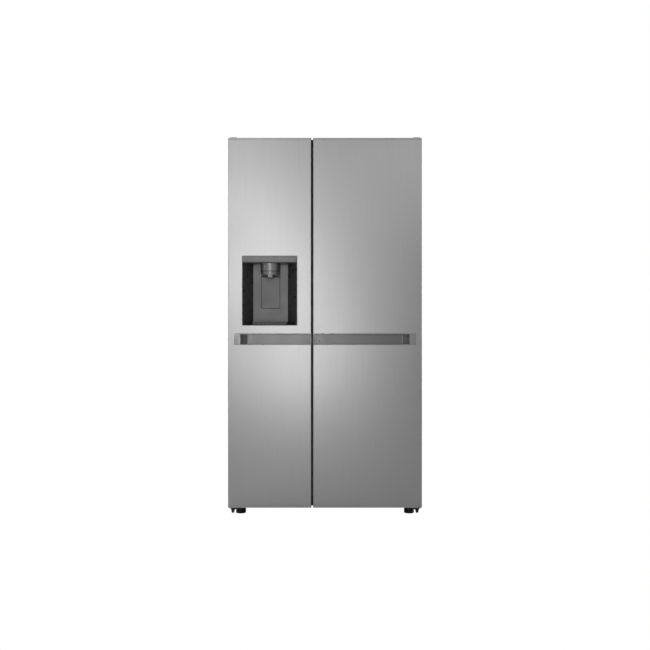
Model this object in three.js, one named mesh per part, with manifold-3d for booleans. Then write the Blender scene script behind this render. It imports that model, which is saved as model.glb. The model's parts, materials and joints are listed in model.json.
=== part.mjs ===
// A free-standing side by side refrigerator: a freezer behind the left door, a fridge behind the
// right one, an ice and water dispenser in the freezer door and a recessed handle in each door.
// Millimetres, +Z up. The origin is on the floor at the centre of the footprint, the doors face -Y
// and the freezer is on the -X side.

import * as THREE from 'three';
import { mergeVertices } from 'three/addons/utils/BufferGeometryUtils.js';
import Module from 'manifold-3d';

const wasm = await Module();
wasm.setup();

// ---------------------------------------------------------------- driving dimensions

const WIDTH = 913;
const DEPTH = 735;
const GAP = 0.3;                       // left between pieces that touch

const FRONT = -DEPTH / 2;              // front face of the doors
const BACK = DEPTH / 2;                // furthest point of the rear spacers
const DOOR_THICKNESS = 75;
const DOOR_REAR = FRONT + DOOR_THICKNESS;
const GASKET_SPACE = 12;               // from the doors' rear face to the cabinet's front face
const CABINET_FRONT = DOOR_REAR + GASKET_SPACE;
const CABINET_BACK = 350;
const DOOR_BOTTOM = 39;
const DOOR_TOP = 1780;
const CASE_BOTTOM = 45;
const CASE_TOP = 1750;
const COVER_TOP = 1790;
const SHEET = 1.5;                     // folded steel and formed liners

const DOOR_SPLIT = -60.5;              // centre of the gap between the doors
const DOOR_GAP = 8;
const SKIN_RADIUS = 3;
const CAP_HEIGHT = 8;                  // visible edge of a door's end cap
const CAP_PLUG = 15;                   // part of an end cap inside the skin
const LINER_PLATE_REAR = DOOR_REAR + 2.1;

const HINGE_INSET = 24;                // hinge axis from the cabinet's side
const HINGE_Y = DOOR_REAR - 45;
const PIN_RADIUS = 5;
const PIN_HOLE_RADIUS = 5.4;
const HINGE_ARM = { inner: 385, outer: 450 };  // distances from the middle of the cabinet

const WALL = 60;                       // insulated side walls and centre wall
const FREEZER_INNER_X = -90.5;
const FRIDGE_INNER_X = FREEZER_INNER_X + WALL;
const FLOOR_Z = 105;
const CEILING_Z = 1700;
const LINER_BACK = 290;
const STEP_Y = 45;                     // where the compartments' floor steps up
const SHELF_FRONT = -130.5;
const LEDGE = 8;                       // height and least reach of a moulded ledge
const FLANGE_WIDTH = 18;               // front flange of the case
const RAIL_TOP = 84;                   // top of the base plate's front rail
const RAIL_REAR = CABINET_FRONT + 2.3;
const MULLION = { left: -84, right: -37 };  // steel strip between the compartments

const DISPENSER_X = -260.5;
const DISPENSER_HALF_WIDTH = 129.5;
const DISPENSER_BOTTOM = 897;
const DISPENSER_TOP = 1224.7;
const PANEL_BOTTOM = 1195.8;           // lower edge of the dispenser's control panel
const CAVITY_ROOF = 1191;
const CAVITY_REAR = -270;
const CAVITY_REAR_HALF_WIDTH = 83.5;
const DISPENSER_WALL = 2.5;

const HANDLE_BOTTOM = 805.4;
const HANDLE_TOP = 859;
const HANDLE_START = 29;               // from the door's outer side
const HANDLE_DEPTH = 34;

const FOOT_X = 402;
const FOOT_Y = -276;
const FOOT_RADIUS = 24;
const FOOT_HEIGHT = 24;
const ROLLER_X = 380;
const ROLLER_Y = 300;
const ROLLER_RADIUS = 20;

const FREEZER = { name: 'freezer', side: -1, edge: DOOR_SPLIT - DOOR_GAP / 2 };
const FRIDGE = { name: 'fridge', side: 1, edge: DOOR_SPLIT + DOOR_GAP / 2 };
for (const door of [FREEZER, FRIDGE]) {
  door.outer = (door.side * WIDTH) / 2;
  door.width = Math.abs(door.outer - door.edge);
  door.hingeX = door.side * (WIDTH / 2 - HINGE_INSET);
}

// Side view (y, z) of a compartment: its floor steps up over the machine space at the back.
const COMPARTMENT = [
  [CABINET_FRONT, FLOOR_Z], [STEP_Y, FLOOR_Z], [STEP_Y, 200], [STEP_Y + 75, 322],
  [LINER_BACK, 322], [LINER_BACK, CEILING_Z], [CABINET_FRONT, CEILING_Z],
];

// Side view (y, z) of the machine space under the step.
const MACHINE_ROOF = 262;
const MACHINE_SPACE = [
  [105, CASE_BOTTOM + 2], [CABINET_BACK, CASE_BOTTOM + 2], [CABINET_BACK, MACHINE_ROOF], [170, MACHINE_ROOF],
  [105, 180],
];

// Side view (y, z) of the way the ice takes from the bucket down to the dispenser.
const DUCT_TOP = 1332;
const ICE_WAY = [[-345, 1160], [-301, 1160], [-301, 1243], [-242, DUCT_TOP], [-286, DUCT_TOP], [-345, 1243]];
const ICE_WAY_HALF_WIDTH = 28;

// The room on the freezer door for the ice bucket, below the split, and the ice maker above it.
const ICE_BOX = {
  left: -365.5, right: -124.5, front: LINER_PLATE_REAR + GAP, rear: -175,
  floor: 1328.4, split: 1492, top: 1655,
};

// ---------------------------------------------------------------- materials

const paint = (color, roughness, metalness) =>
  new THREE.MeshStandardMaterial({ color, roughness, metalness });
const steel = () => paint(0xb4b5b6, 0.38, 0.9);
const sidePaint = () => paint(0x8f9092, 0.5, 0.4);
const blackPlastic = () => paint(0x1b1c1e, 0.5, 0);
const darkPlastic = () => paint(0x3a3b3d, 0.45, 0);
const greyPlastic = () => paint(0x77797b, 0.4, 0.1);
const whitePlastic = () => paint(0xe9ebec, 0.4, 0);
const clearPlastic = () => paint(0xcfd8dc, 0.15, 0);
const zincSteel = () => paint(0x9fa3a6, 0.45, 0.8);
const blackEnamel = () => paint(0x151617, 0.35, 0.3);
const aluminium = () => paint(0xc4c7c9, 0.4, 0.9);
const foam = () => paint(0xe8dcae, 0.9, 0);
const rubber = () => paint(0x55585b, 0.8, 0);
const chrome = () => paint(0xd8dadb, 0.1, 1);

// ---------------------------------------------------------------- geometry helpers

// Joins coincident vertices, drops collapsed triangles and turns the faces outwards.
function closed(geometry) {
  geometry.deleteAttribute('normal');
  geometry.deleteAttribute('uv');
  const merged = mergeVertices(geometry, 1e-3);
  const index = merged.index.array;
  const spot = merged.attributes.position;
  const corner = [new THREE.Vector3(), new THREE.Vector3(), new THREE.Vector3()];
  const kept = [];
  let volume = 0;
  for (let i = 0; i < index.length; i += 3) {
    const [a, b, c] = [index[i], index[i + 1], index[i + 2]];
    if (a === b || b === c || c === a) continue;
    kept.push(a, b, c);
    corner.forEach((point, k) => point.fromBufferAttribute(spot, [a, b, c][k]));
    volume += corner[0].dot(corner[1].cross(corner[2]));
  }
  merged.setIndex(volume < 0 ? kept.reverse() : kept);
  return merged;
}

function solid(geometry) {
  return new wasm.Manifold(new wasm.Mesh({
    numProp: 3,
    vertProperties: new Float32Array(geometry.attributes.position.array),
    triVerts: new Uint32Array(geometry.index.array),
  }));
}

const join = (first, ...rest) => rest.reduce((whole, piece) => whole.add(piece), first);
const cut = (first, ...rest) => rest.reduce((whole, piece) => whole.subtract(piece), first);
const range = (count) => Array.from({ length: count }, (_, i) => i);

function box(x0, x1, y0, y1, z0, z1) {
  const geometry = closed(new THREE.BoxGeometry(Math.abs(x1 - x0), Math.abs(y1 - y0), Math.abs(z1 - z0)));
  geometry.translate((x0 + x1) / 2, (y0 + y1) / 2, (z0 + z1) / 2);
  return solid(geometry);
}

// A straight prism. Its outline is in (y, z), (x, z) or (x, y) for the axis x, y or z.
function prism(axis, outline, from, to) {
  const shape = new THREE.Shape(outline.map(([u, v]) => new THREE.Vector2(u, v)));
  const geometry = closed(new THREE.ExtrudeGeometry(shape, { depth: to - from, bevelEnabled: false }));
  if (axis === 'x') geometry.rotateX(Math.PI / 2).rotateZ(Math.PI / 2).translate(from, 0, 0);
  if (axis === 'y') geometry.rotateX(Math.PI / 2).translate(0, to, 0);
  if (axis === 'z') geometry.translate(0, 0, from);
  return solid(geometry);
}

// Turns a shape made around the Y axis so that it lies along x, y or z, and moves it to its place.
function along(axis, geometry, place) {
  if (axis === 'x') geometry.rotateZ(-Math.PI / 2);
  if (axis === 'z') geometry.rotateX(Math.PI / 2);
  return solid(geometry.translate(...place));
}

// A rod or cone that starts at place and runs for length along its axis.
function rod(axis, place, length, radius, endRadius = radius, sides = 24) {
  const geometry = closed(new THREE.CylinderGeometry(endRadius, radius, length, sides));
  return along(axis, geometry.translate(0, length / 2, 0), place);
}

// A turned piece. Its profile is (radius, height) from one end of the axis to the other.
function turned(axis, place, profile, sides = 24) {
  const points = profile.map(([radius, height]) => new THREE.Vector2(radius, height));
  return along(axis, closed(new THREE.LatheGeometry(points, sides)), place);
}

// Moves each edge of an anticlockwise outline outwards by the distance, or inwards if it is negative.
function grow(outline, distance) {
  const lines = outline.map(([u, v], i) => {
    const [nextU, nextV] = outline[(i + 1) % outline.length];
    const length = Math.hypot(nextU - u, nextV - v);
    const normal = [(nextV - v) / length, (u - nextU) / length];
    return { normal, offset: normal[0] * u + normal[1] * v + distance };
  });
  return lines.map((line, i) => {
    const before = lines[(i + lines.length - 1) % lines.length];
    const [a, b] = before.normal;
    const [c, d] = line.normal;
    const det = a * d - b * c;
    return [(before.offset * d - b * line.offset) / det, (a * line.offset - before.offset * c) / det];
  });
}

// Points of an arc, from one angle to the other in degrees.
function arc(centreU, centreV, radius, fromDeg, toDeg, steps = 5) {
  return range(steps + 1).map((i) => {
    const angle = THREE.MathUtils.degToRad(fromDeg + ((toDeg - fromDeg) * i) / steps);
    return [centreU + radius * Math.cos(angle), centreV + radius * Math.sin(angle)];
  });
}

function roundedRectangle(u0, u1, v0, v1, radius) {
  return [
    ...arc(u1 - radius, v0 + radius, radius, -90, 0), ...arc(u1 - radius, v1 - radius, radius, 0, 90),
    ...arc(u0 + radius, v1 - radius, radius, 90, 180), ...arc(u0 + radius, v0 + radius, radius, 180, 270),
  ];
}

// ---------------------------------------------------------------- the group of named pieces

const refrigerator = new THREE.Group();
refrigerator.name = 'side_by_side_refrigerator';

function piece(name, shape, material) {
  const { vertProperties, triVerts } = shape.getMesh();
  const geometry = new THREE.BufferGeometry();
  geometry.setAttribute('position', new THREE.BufferAttribute(vertProperties, 3));
  geometry.setIndex(new THREE.BufferAttribute(triVerts, 1));
  geometry.computeVertexNormals();
  const mesh = new THREE.Mesh(geometry, material);
  mesh.name = name;
  refrigerator.add(mesh);
}

// ---------------------------------------------------------------- cabinet shell

// The folded steel shell: both sides, the top, a front flange and the strip between the compartments.
function cabinetCase() {
  const half = WIDTH / 2;
  const outside = box(-half, half, CABINET_FRONT, CABINET_BACK, CASE_BOTTOM, CASE_TOP);
  const inside = box(-half + SHEET, half - SHEET, CABINET_FRONT + SHEET, BACK, 0, CASE_TOP - SHEET);
  const opening = half - FLANGE_WIDTH;
  const mouth = box(-opening, opening, FRONT, CABINET_BACK, 0, CASE_TOP - FLANGE_WIDTH);
  const centreRail = box(MULLION.left, MULLION.right, CABINET_FRONT, CABINET_FRONT + SHEET,
    RAIL_TOP, CASE_TOP - FLANGE_WIDTH + 1);
  return join(cut(outside, inside, mouth), centreRail);
}

// The rear sheet, with the folded sheet that closes off the machine space below it.
function backPanel() {
  const half = WIDTH / 2 - SHEET - GAP;
  const sheet = box(-half, half, CABINET_BACK - SHEET, CABINET_BACK,
    MACHINE_ROOF - 2, CASE_TOP - SHEET - GAP);
  const hood = prism('x', MACHINE_SPACE, -half, half);
  const hollow = prism('x', grow(MACHINE_SPACE, -SHEET), -half, half);
  const floor = box(-half, half, 100, BACK, CASE_BOTTOM, CASE_BOTTOM + 2 + 2 * SHEET);
  const rear = box(-half, half, CABINET_BACK - 2 * SHEET, BACK, CASE_BOTTOM, MACHINE_ROOF - SHEET);
  return join(cut(hood, hollow, floor, rear), sheet);
}

// The bottom sheet, its front rail and the ears that carry the rear rollers.
function basePlate() {
  const half = WIDTH / 2 - SHEET - GAP;
  const railHalf = WIDTH / 2 - FLANGE_WIDTH - GAP;
  const lipHalf = HINGE_ARM.inner - 2;
  const lipBottom = 35;
  const sheet = box(-half, half, CABINET_FRONT + SHEET + GAP, CABINET_BACK - GAP,
    CASE_BOTTOM, CASE_BOTTOM + SHEET);
  const rail = box(-railHalf, railHalf, CABINET_FRONT, RAIL_REAR, CASE_BOTTOM, RAIL_TOP - GAP);
  const lip = box(-lipHalf, lipHalf, CABINET_FRONT, RAIL_REAR, lipBottom, CASE_BOTTOM + 1);
  const ear = { offset: 14, thickness: 3, halfLength: 15, bottom: 10, holeRadius: 4.4 };
  const ears = [-1, 1].flatMap((side) => [-1, 1].map((end) => {
    const middle = side * ROLLER_X + end * ear.offset;
    const plate = box(middle - ear.thickness / 2, middle + ear.thickness / 2,
      ROLLER_Y - ear.halfLength, ROLLER_Y + ear.halfLength, ear.bottom, CASE_BOTTOM + 1);
    const start = [middle - ear.thickness, ROLLER_Y, ROLLER_RADIUS];
    return cut(plate, rod('x', start, 2 * ear.thickness, ear.holeRadius));
  }));
  const footHoles = [-1, 1].map((side) => rod('z', [side * FOOT_X, FOOT_Y, 0], 70, PIN_HOLE_RADIUS));
  return cut(join(sheet, rail, lip, ...ears), ...footHoles);
}

function foamInsulation() {
  const half = WIDTH / 2 - SHEET - GAP;
  const block = box(-half, half, CABINET_FRONT + SHEET + GAP, CABINET_BACK - SHEET - GAP,
    CASE_BOTTOM + SHEET + GAP, CASE_TOP - SHEET - GAP);
  const front = box(-half - 1, half + 1, FRONT, RAIL_REAR + GAP, 0, RAIL_TOP);
  const hollows = [compartmentSpan(FREEZER), compartmentSpan(FRIDGE)].map(([x0, x1]) => {
    const room = SHEET + GAP;
    return prism('x', grow(COMPARTMENT, room), x0 - room, x1 + room);
  });
  const machine = prism('x', grow(MACHINE_SPACE, GAP), -half - 1, half + 1);
  const footHoles = [-1, 1].map((side) => rod('z', [side * FOOT_X, FOOT_Y, 0], 64, PIN_RADIUS + 2));
  return cut(block, front, ...hollows, machine, ...footHoles);
}

function compartmentSpan(door) {
  const outer = WIDTH / 2 - WALL;
  return door.side < 0 ? [-outer, FREEZER_INNER_X] : [FRIDGE_INNER_X, outer];
}

// A formed liner with its front flange and the moulded ledges that its shelves and drawers rest on.
function cabinetLiner(door, ledges) {
  const [x0, x1] = compartmentSpan(door);
  const outerFlange = WIDTH / 2 - FLANGE_WIDTH - GAP;
  const [f0, f1] = door.side < 0 ? [-outerFlange, MULLION.left - GAP] : [MULLION.right + GAP, outerFlange];
  const tub = prism('x', grow(COMPARTMENT, SHEET), x0 - SHEET, x1 + SHEET);
  const trim = box(f0, f1, FRONT, CABINET_FRONT, 0, COVER_TOP);
  const flange = box(f0, f1, CABINET_FRONT, CABINET_FRONT + SHEET, RAIL_TOP, CASE_TOP - FLANGE_WIDTH - GAP);
  const hollow = [...COMPARTMENT];
  hollow[0] = [FRONT, FLOOR_Z];
  hollow[hollow.length - 1] = [FRONT, CEILING_Z];
  const shell = cut(join(tub, flange), trim, prism('x', hollow, x0, x1));
  const supports = ledges.flatMap(({ z, outer, inner, rear }) => {
    const [left, right] = door.side < 0 ? [outer, inner] : [inner, outer];
    return [
      box(x0 - SHEET / 2, x0 + left, SHELF_FRONT + 10, rear, z - LEDGE, z - GAP),
      box(x1 - right, x1 + SHEET / 2, SHELF_FRONT + 10, rear, z - LEDGE, z - GAP),
    ];
  });
  return join(shell, ...supports);
}

// The black cover along the cabinet's top front edge. It hides the upper hinges.
function topCover() {
  const wall = 2.5;
  const half = WIDTH / 2 - 1;
  const [rear, crestRear, crestFront] = [-150, -164, -240];
  const [rearHeight, frontHeight, slotTop] = [1783, 1784.5, 1786.2];
  const side = [
    [CABINET_FRONT, CASE_TOP + GAP], [rear, CASE_TOP + GAP], [rear, rearHeight],
    [crestRear, COVER_TOP], [crestFront, COVER_TOP], [CABINET_FRONT, frontHeight],
  ];
  const hollow = grow(side, -wall);
  hollow[0] = [hollow[0][0], CASE_TOP - 5];
  hollow[1] = [hollow[1][0], CASE_TOP - 5];
  const armSlots = [-1, 1].map((s) => box(s * (HINGE_ARM.inner - 1.5), s * (HINGE_ARM.outer + 1.5),
    FRONT, CABINET_FRONT + 10, CASE_TOP - 5, slotTop));
  return cut(prism('x', side, -half, half), prism('x', hollow, -half + wall, half - wall), ...armSlots);
}

// ---------------------------------------------------------------- hinges, feet and rollers

// A stepped bracket: screwed to the cabinet's top, with its arm and pin over the door.
function upperHinge(side) {
  const [x0, x1] = [side * HINGE_ARM.inner, side * HINGE_ARM.outer];
  const axisX = side * (WIDTH / 2 - HINGE_INSET);
  const armBottom = DOOR_TOP + 0.8;
  const armTop = armBottom + 4.4;
  const foot = box(x0, x1, CABINET_FRONT + 4, -190, CASE_TOP + GAP, CASE_TOP + 4.5);
  const riser = box(x0, x1, CABINET_FRONT + 4, CABINET_FRONT + 8.5, CASE_TOP + GAP, armTop);
  const arm = box(x0, x1, HINGE_Y, CABINET_FRONT + 8.5, armBottom, armTop);
  const end = box(axisX - 16 * side, axisX + 14 * side, HINGE_Y - 14, HINGE_Y + 1, armBottom, armTop);
  const pin = rod('z', [axisX, HINGE_Y, DOOR_TOP - 18], 20, PIN_RADIUS);
  return join(foot, riser, arm, end, pin);
}

// The bracket under the door: its pin stands up into the door, its cone hangs below.
function lowerHinge(side) {
  const [x0, x1] = [side * (HINGE_ARM.inner - 0.5), side * (HINGE_ARM.outer + 0.5)];
  const axisX = side * (WIDTH / 2 - HINGE_INSET);
  const rear = -200;
  const armBottom = 33;
  const armTop = DOOR_BOTTOM - 0.6;
  const arm = box(x0, x1, HINGE_Y - 17, rear, armBottom, armTop);
  const seat = box(x0, x1, CABINET_FRONT + 3.5, rear, armBottom, CASE_BOTTOM - GAP);
  const pin = rod('z', [axisX, HINGE_Y, armTop - 1], 20, PIN_RADIUS);
  const cone = rod('z', [axisX + 3 * side, HINGE_Y, 11], armBottom - 10, 5.5, 11);
  const footHole = rod('z', [side * FOOT_X, FOOT_Y, 0], 70, PIN_HOLE_RADIUS);
  return cut(join(arm, seat, pin, cone), footHole);
}

// A levelling foot: a rounded drum on a screw.
function levellingFoot(side) {
  const round = 4;
  const screwTop = 56;
  const profile = [
    [0, 0], ...arc(FOOT_RADIUS - round, round, round, -90, 0, 3),
    ...arc(FOOT_RADIUS - round, FOOT_HEIGHT - round, round, 0, 90, 3),
    [PIN_RADIUS, FOOT_HEIGHT], [PIN_RADIUS, screwTop], [0, screwTop],
  ];
  return turned('z', [side * FOOT_X, FOOT_Y, 0], profile, 24);
}

// A rear roller with its axle, which turns in the ears of the base plate.
function rearRoller(side) {
  const halfWidth = 11;
  const axleHalfLength = 18;
  const axle = 4;
  const round = 3;
  const profile = [
    [0, -axleHalfLength], [axle, -axleHalfLength], [axle, -halfWidth],
    ...arc(ROLLER_RADIUS - round, round - halfWidth, round, -90, 0, 3),
    ...arc(ROLLER_RADIUS - round, halfWidth - round, round, 0, 90, 3),
    [axle, halfWidth], [axle, axleHalfLength], [0, axleHalfLength],
  ];
  return turned('x', [side * ROLLER_X, ROLLER_Y, ROLLER_RADIUS], profile, 24);
}

// ---------------------------------------------------------------- cooling system

// A domed shell on a mounting plate.
function compressor() {
  const radius = 80;
  const [x, y, bottom, top] = [250, 238, 62, 214];
  const dome = 38;
  const curve = (sign) => range(6).map((i) => {
    const angle = (sign * Math.PI * (i + 1)) / 12;
    return [radius * Math.cos(angle) ** 0.7, dome * Math.sin(angle)];
  });
  const profile = [
    [0, bottom], ...curve(-1).slice(0, 5).reverse().map(([r, h]) => [r, bottom + dome + h]),
    [radius, bottom + dome], [radius, top - dome],
    ...curve(1).slice(0, 5).map(([r, h]) => [r, top - dome + h]), [0, top],
  ];
  const shell = turned('z', [x, y, 0], profile, 24);
  const base = {
    halfLength: 105, halfWidth: 70, bottom: 56, top: 59, postRadius: 45, inset: 15, mountRadius: 12,
  };
  const plate = box(x - base.halfLength, x + base.halfLength, y - base.halfWidth, y + base.halfWidth,
    base.bottom, base.top);
  const post = rod('z', [x, y, base.top - 1], 20, base.postRadius);
  const mounts = [-1, 1].flatMap((u) => [-1, 1].map((v) => {
    const corner = [x + u * (base.halfLength - base.inset), y + v * (base.halfWidth - base.inset)];
    return rod('z', [...corner, CASE_BOTTOM + SHEET + GAP], 10, base.mountRadius, base.mountRadius, 16);
  }));
  return join(shell, plate, post, ...mounts);
}

// A tube that runs to and fro through flat fins. Its straights lie along X and step along Y.
function finnedCoil({ x0, x1, passes, pitch, tube, fins, finHalfHeight }) {
  const bend = pitch / 2;
  const straights = range(passes).map((i) => rod('x', [x0, i * pitch, 0], x1 - x0, tube, tube, 6));
  const bends = range(passes - 1).map((i) => {
    const end = i % 2 === 0 ? x1 : x0;
    const ring = closed(new THREE.TorusGeometry(bend, tube, 6, 12)).translate(end, (i + 0.5) * pitch, 0);
    const half = i % 2 === 0 ? box(end, end + pitch, (i - 1) * pitch, (i + 2) * pitch, -tube * 2, tube * 2)
      : box(end - pitch, end, (i - 1) * pitch, (i + 2) * pitch, -tube * 2, tube * 2);
    return solid(ring).intersect(half);
  });
  const plates = range(fins).map((i) => {
    const x = x0 + ((x1 - x0) * (i + 0.5)) / fins;
    const ends = [-pitch / 3, (passes - 1) * pitch + pitch / 3];
    return box(x - 0.75, x + 0.75, ...ends, -finHalfHeight, finHalfHeight);
  });
  return join(straights[0], ...straights.slice(1), ...bends, ...plates);
}

// Turns and moves a finished solid by a three.js matrix.
function moved(shape, matrix) {
  const { vertProperties, triVerts } = shape.getMesh();
  const geometry = new THREE.BufferGeometry();
  geometry.setAttribute('position', new THREE.BufferAttribute(new Float32Array(vertProperties), 3));
  geometry.setIndex(new THREE.BufferAttribute(triVerts, 1));
  return solid(geometry.applyMatrix4(matrix));
}

const CONDENSER_FAN = { x: -30, y: 242, z: 122, radius: 58 };

// The condenser coil with the shroud and motor of its fan screwed to one end.
function condenser() {
  const coil = finnedCoil({ x0: -405, x1: -80, passes: 7, pitch: 26, tube: 4, fins: 4, finHalfHeight: 24 });
  const placed = moved(coil, new THREE.Matrix4().makeTranslation(0, 164, 96));
  const { x, y, z, radius } = CONDENSER_FAN;
  const plateHalf = radius + 14;
  const plate = box(x - 2, x + 2, y - plateHalf, y + plateHalf, CASE_BOTTOM + SHEET + GAP, z + plateHalf);
  const hole = rod('x', [x - 10, y, z], 20, radius + 4, radius + 4, 32);
  const bars = { far: -402, thickness: 5, bottom: 74, top: 118 };
  const sideBars = [y - plateHalf, y + plateHalf - bars.thickness].map((bar) =>
    box(bars.far, x, bar, bar + bars.thickness, bars.bottom, bars.top));
  const motor = rod('x', [x + 16, y, z], 26, 20);
  const bridgeHalf = 6;
  const bridge = box(x + 20, x + 24, y - plateHalf, y + plateHalf, z - bridgeHalf, z + bridgeHalf);
  const legs = [y - plateHalf, y + plateHalf - bridgeHalf].map((leg) =>
    box(x, x + 24, leg, leg + bridgeHalf, z - bridgeHalf, z + bridgeHalf));
  return join(cut(plate, hole), placed, ...sideBars, motor, bridge, ...legs);
}

// An axial fan around the Z axis, centred on the origin.
function fan(radius, hubRadius, width, blades) {
  const hub = rod('z', [0, 0, -width / 2], width, hubRadius);
  const vanes = range(blades).map((i) => {
    const length = radius - hubRadius + 4;
    const blade = closed(new THREE.BoxGeometry(length, radius * 0.55, 2));
    blade.rotateX(THREE.MathUtils.degToRad(28)).translate(hubRadius - 4 + length / 2, 0, 0);
    return solid(blade.rotateZ((2 * Math.PI * i) / blades));
  });
  return join(hub, ...vanes);
}

function condenserFan() {
  const { x, y, z, radius } = CONDENSER_FAN;
  const turn = new THREE.Matrix4().makeRotationY(Math.PI / 2).setPosition(x, y, z);
  return moved(fan(radius, 18, 26, 5), turn);
}

const EVAPORATOR_FAN = { x: -243.5, y: 256, z: 960, radius: 54 };
const PANEL_WALL = 2.5;

function evaporatorFan() {
  const { x, y, z, radius } = EVAPORATOR_FAN;
  return moved(fan(radius, 17, 22, 5), new THREE.Matrix4().makeRotationX(Math.PI / 2).setPosition(x, y, z));
}

function evaporator() {
  const coil = finnedCoil({
    x0: -355, x1: -130, passes: 7, pitch: 58, tube: 4.5, fins: 4, finHalfHeight: 20,
  });
  return moved(coil, new THREE.Matrix4().makeRotationX(Math.PI / 2).setPosition(0, 262, 430));
}

// The freezer's rear air panel, with its vents and the post that holds the fan's motor.
function evaporatorCover() {
  const [x0, x1] = compartmentSpan(FREEZER);
  const [left, right, front, rear, bottom, top] = [x0 + 2, x1 - 2, 224, LINER_BACK - 1, 330, CEILING_Z - 10];
  const hollow = box(left + PANEL_WALL, right - PANEL_WALL, front + PANEL_WALL, BACK,
    bottom + PANEL_WALL, top - PANEL_WALL);
  const shell = cut(box(left, right, front, rear, bottom, top), hollow);
  const { x, y, z } = EVAPORATOR_FAN;
  const post = rod('y', [x, front + 1, z], y - 14 - front, 15);
  const slot = (x2, x3, z2, z3) => box(x2, x3, front - 5, front + 5, z2, z3);
  const vents = range(5).map((i) => slot(x - 90, x + 90, 1480 + i * 26, 1490 + i * 26));
  const grille = range(4).map((i) => slot(x - 70, x + 70, z + 70 + i * 22, z + 80 + i * 22));
  const returns = range(6).map((i) => slot(x - 90 + i * 32, x - 70 + i * 32, bottom + 15, bottom + 55));
  return join(cut(shell, ...vents, ...grille, ...returns), post);
}

// The fridge's air tower, with a row of outlets at each shelf.
function fridgeDuctPanel() {
  const [x0, x1, front, bottom, top] = [98, 268, 262, 600, CEILING_Z - 15];
  const hollow = box(x0 + PANEL_WALL, x1 - PANEL_WALL, front + PANEL_WALL, BACK,
    bottom + PANEL_WALL, top - PANEL_WALL);
  const shell = cut(box(x0, x1, front, LINER_BACK - 1, bottom, top), hollow);
  const outletRows = [760, 1050, 1330, 1560];
  const outlets = outletRows.flatMap((row) => range(3).map((i) => {
    const z = row + i * 18;
    return box(x0 + 30, x1 - 30, front - 5, front + 5, z, z + 8);
  }));
  return cut(shell, ...outlets);
}

// The vented cover over the machine space, with the gland for the mains cord and two wall spacers.
function machineCover() {
  const half = WIDTH / 2 - SHEET - GAP;
  const plate = box(-half, half, CABINET_BACK + GAP, CABINET_BACK + 2.5, CASE_BOTTOM + 5, MACHINE_ROOF - 3);
  const vent = { rows: 8, halfLength: 110, lowest: 84, pitch: 20, height: 9 };
  const vents = [-250, 250].flatMap((middle) => range(vent.rows).map((i) => {
    const z = vent.lowest + i * vent.pitch;
    return box(middle - vent.halfLength, middle + vent.halfLength, CABINET_BACK - 5, BACK,
      z, z + vent.height);
  }));
  const [glandX, glandZ] = [-60, 215];
  const gland = rod('y', [glandX, CABINET_BACK + 1, glandZ], 12, 13, 10);
  const bore = rod('y', [glandX, CABINET_BACK - 4, glandZ], 24, 5);
  const spacer = { x: 400, halfWidth: 20, bottom: 140, top: 200 };
  const spacers = [-1, 1].map((s) => box(s * spacer.x - spacer.halfWidth, s * spacer.x + spacer.halfWidth,
    CABINET_BACK + 1, BACK, spacer.bottom, spacer.top));
  return join(cut(join(plate, gland), ...vents, bore), ...spacers);
}

// ---------------------------------------------------------------- inside the compartments

// A glass shelf with a deeper trim along its front edge.
function shelf(door, z, rear) {
  const [x0, x1] = compartmentSpan(door);
  const [left, right] = [x0 + 2.5, x1 - 2.5];
  return join(box(left, right, SHELF_FRONT + 2, rear, z, z + 6),
    box(left + 10, right - 10, SHELF_FRONT, SHELF_FRONT + 12, z - 9, z + 8));
}

const DRAWER_GUIDE = 13;               // room for a drawer's guide beside the centre wall

// An open box with a pull lip along the top of its front.
function drawer(door, z0, z1, rear) {
  const wall = 3;
  const far = door.side < 0 ? FREEZER_INNER_X - DRAWER_GUIDE : FRIDGE_INNER_X + DRAWER_GUIDE;
  const near = door.side * (WIDTH / 2 - HINGE_INSET - 60);
  const [x0, x1] = [Math.min(near, far), Math.max(near, far)];
  const body = cut(box(x0, x1, SHELF_FRONT + 8, rear, z0, z1),
    box(x0 + wall, x1 - wall, SHELF_FRONT + 8 + wall, rear - wall, z0 + wall, z1 + 5));
  const lip = box(x0 + 12, x1 - 12, SHELF_FRONT, SHELF_FRONT + 9, z1 - 34, z1 - 6);
  const grip = box(x0 + 18, x1 - 18, SHELF_FRONT + 3, SHELF_FRONT + 7, z1 - 40, z1 - 12);
  return join(body, cut(lip, grip));
}

const DRAWER_LEVELS = { lowerFloor: 108, lowerTop: 326, upperFloor: 346, upperTop: 562, rearLow: 36 };
const SHELF_LEVELS = { freezer: [590, 915], fridge: [900, 1210], crisperCover: 585 };

// ---------------------------------------------------------------- doors

// Sorted X limits of a stretch of a door, given as distances from the door's outer side.
function across(door, from, to) {
  const ends = [door.outer - door.side * from, door.outer - door.side * to];
  return [Math.min(...ends), Math.max(...ends)];
}

// Plan (x, y) of a door, inset by a distance, with its two front corners rounded.
function doorPlan(door, inset, rear = DOOR_REAR) {
  const [x0, x1] = across(door, inset, door.width - inset);
  const front = FRONT + inset;
  const radius = SKIN_RADIUS - inset;
  return [
    [x1, rear], [x0, rear],
    ...arc(x0 + radius, front + radius, radius, 180, 270, 4),
    ...arc(x1 - radius, front + radius, radius, 270, 360, 4),
  ];
}

const dispenserOpening = (room) => roundedRectangle(
  DISPENSER_X - DISPENSER_HALF_WIDTH - room, DISPENSER_X + DISPENSER_HALF_WIDTH + room,
  DISPENSER_BOTTOM - room, DISPENSER_TOP + room, 4.5 + room);

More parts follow.
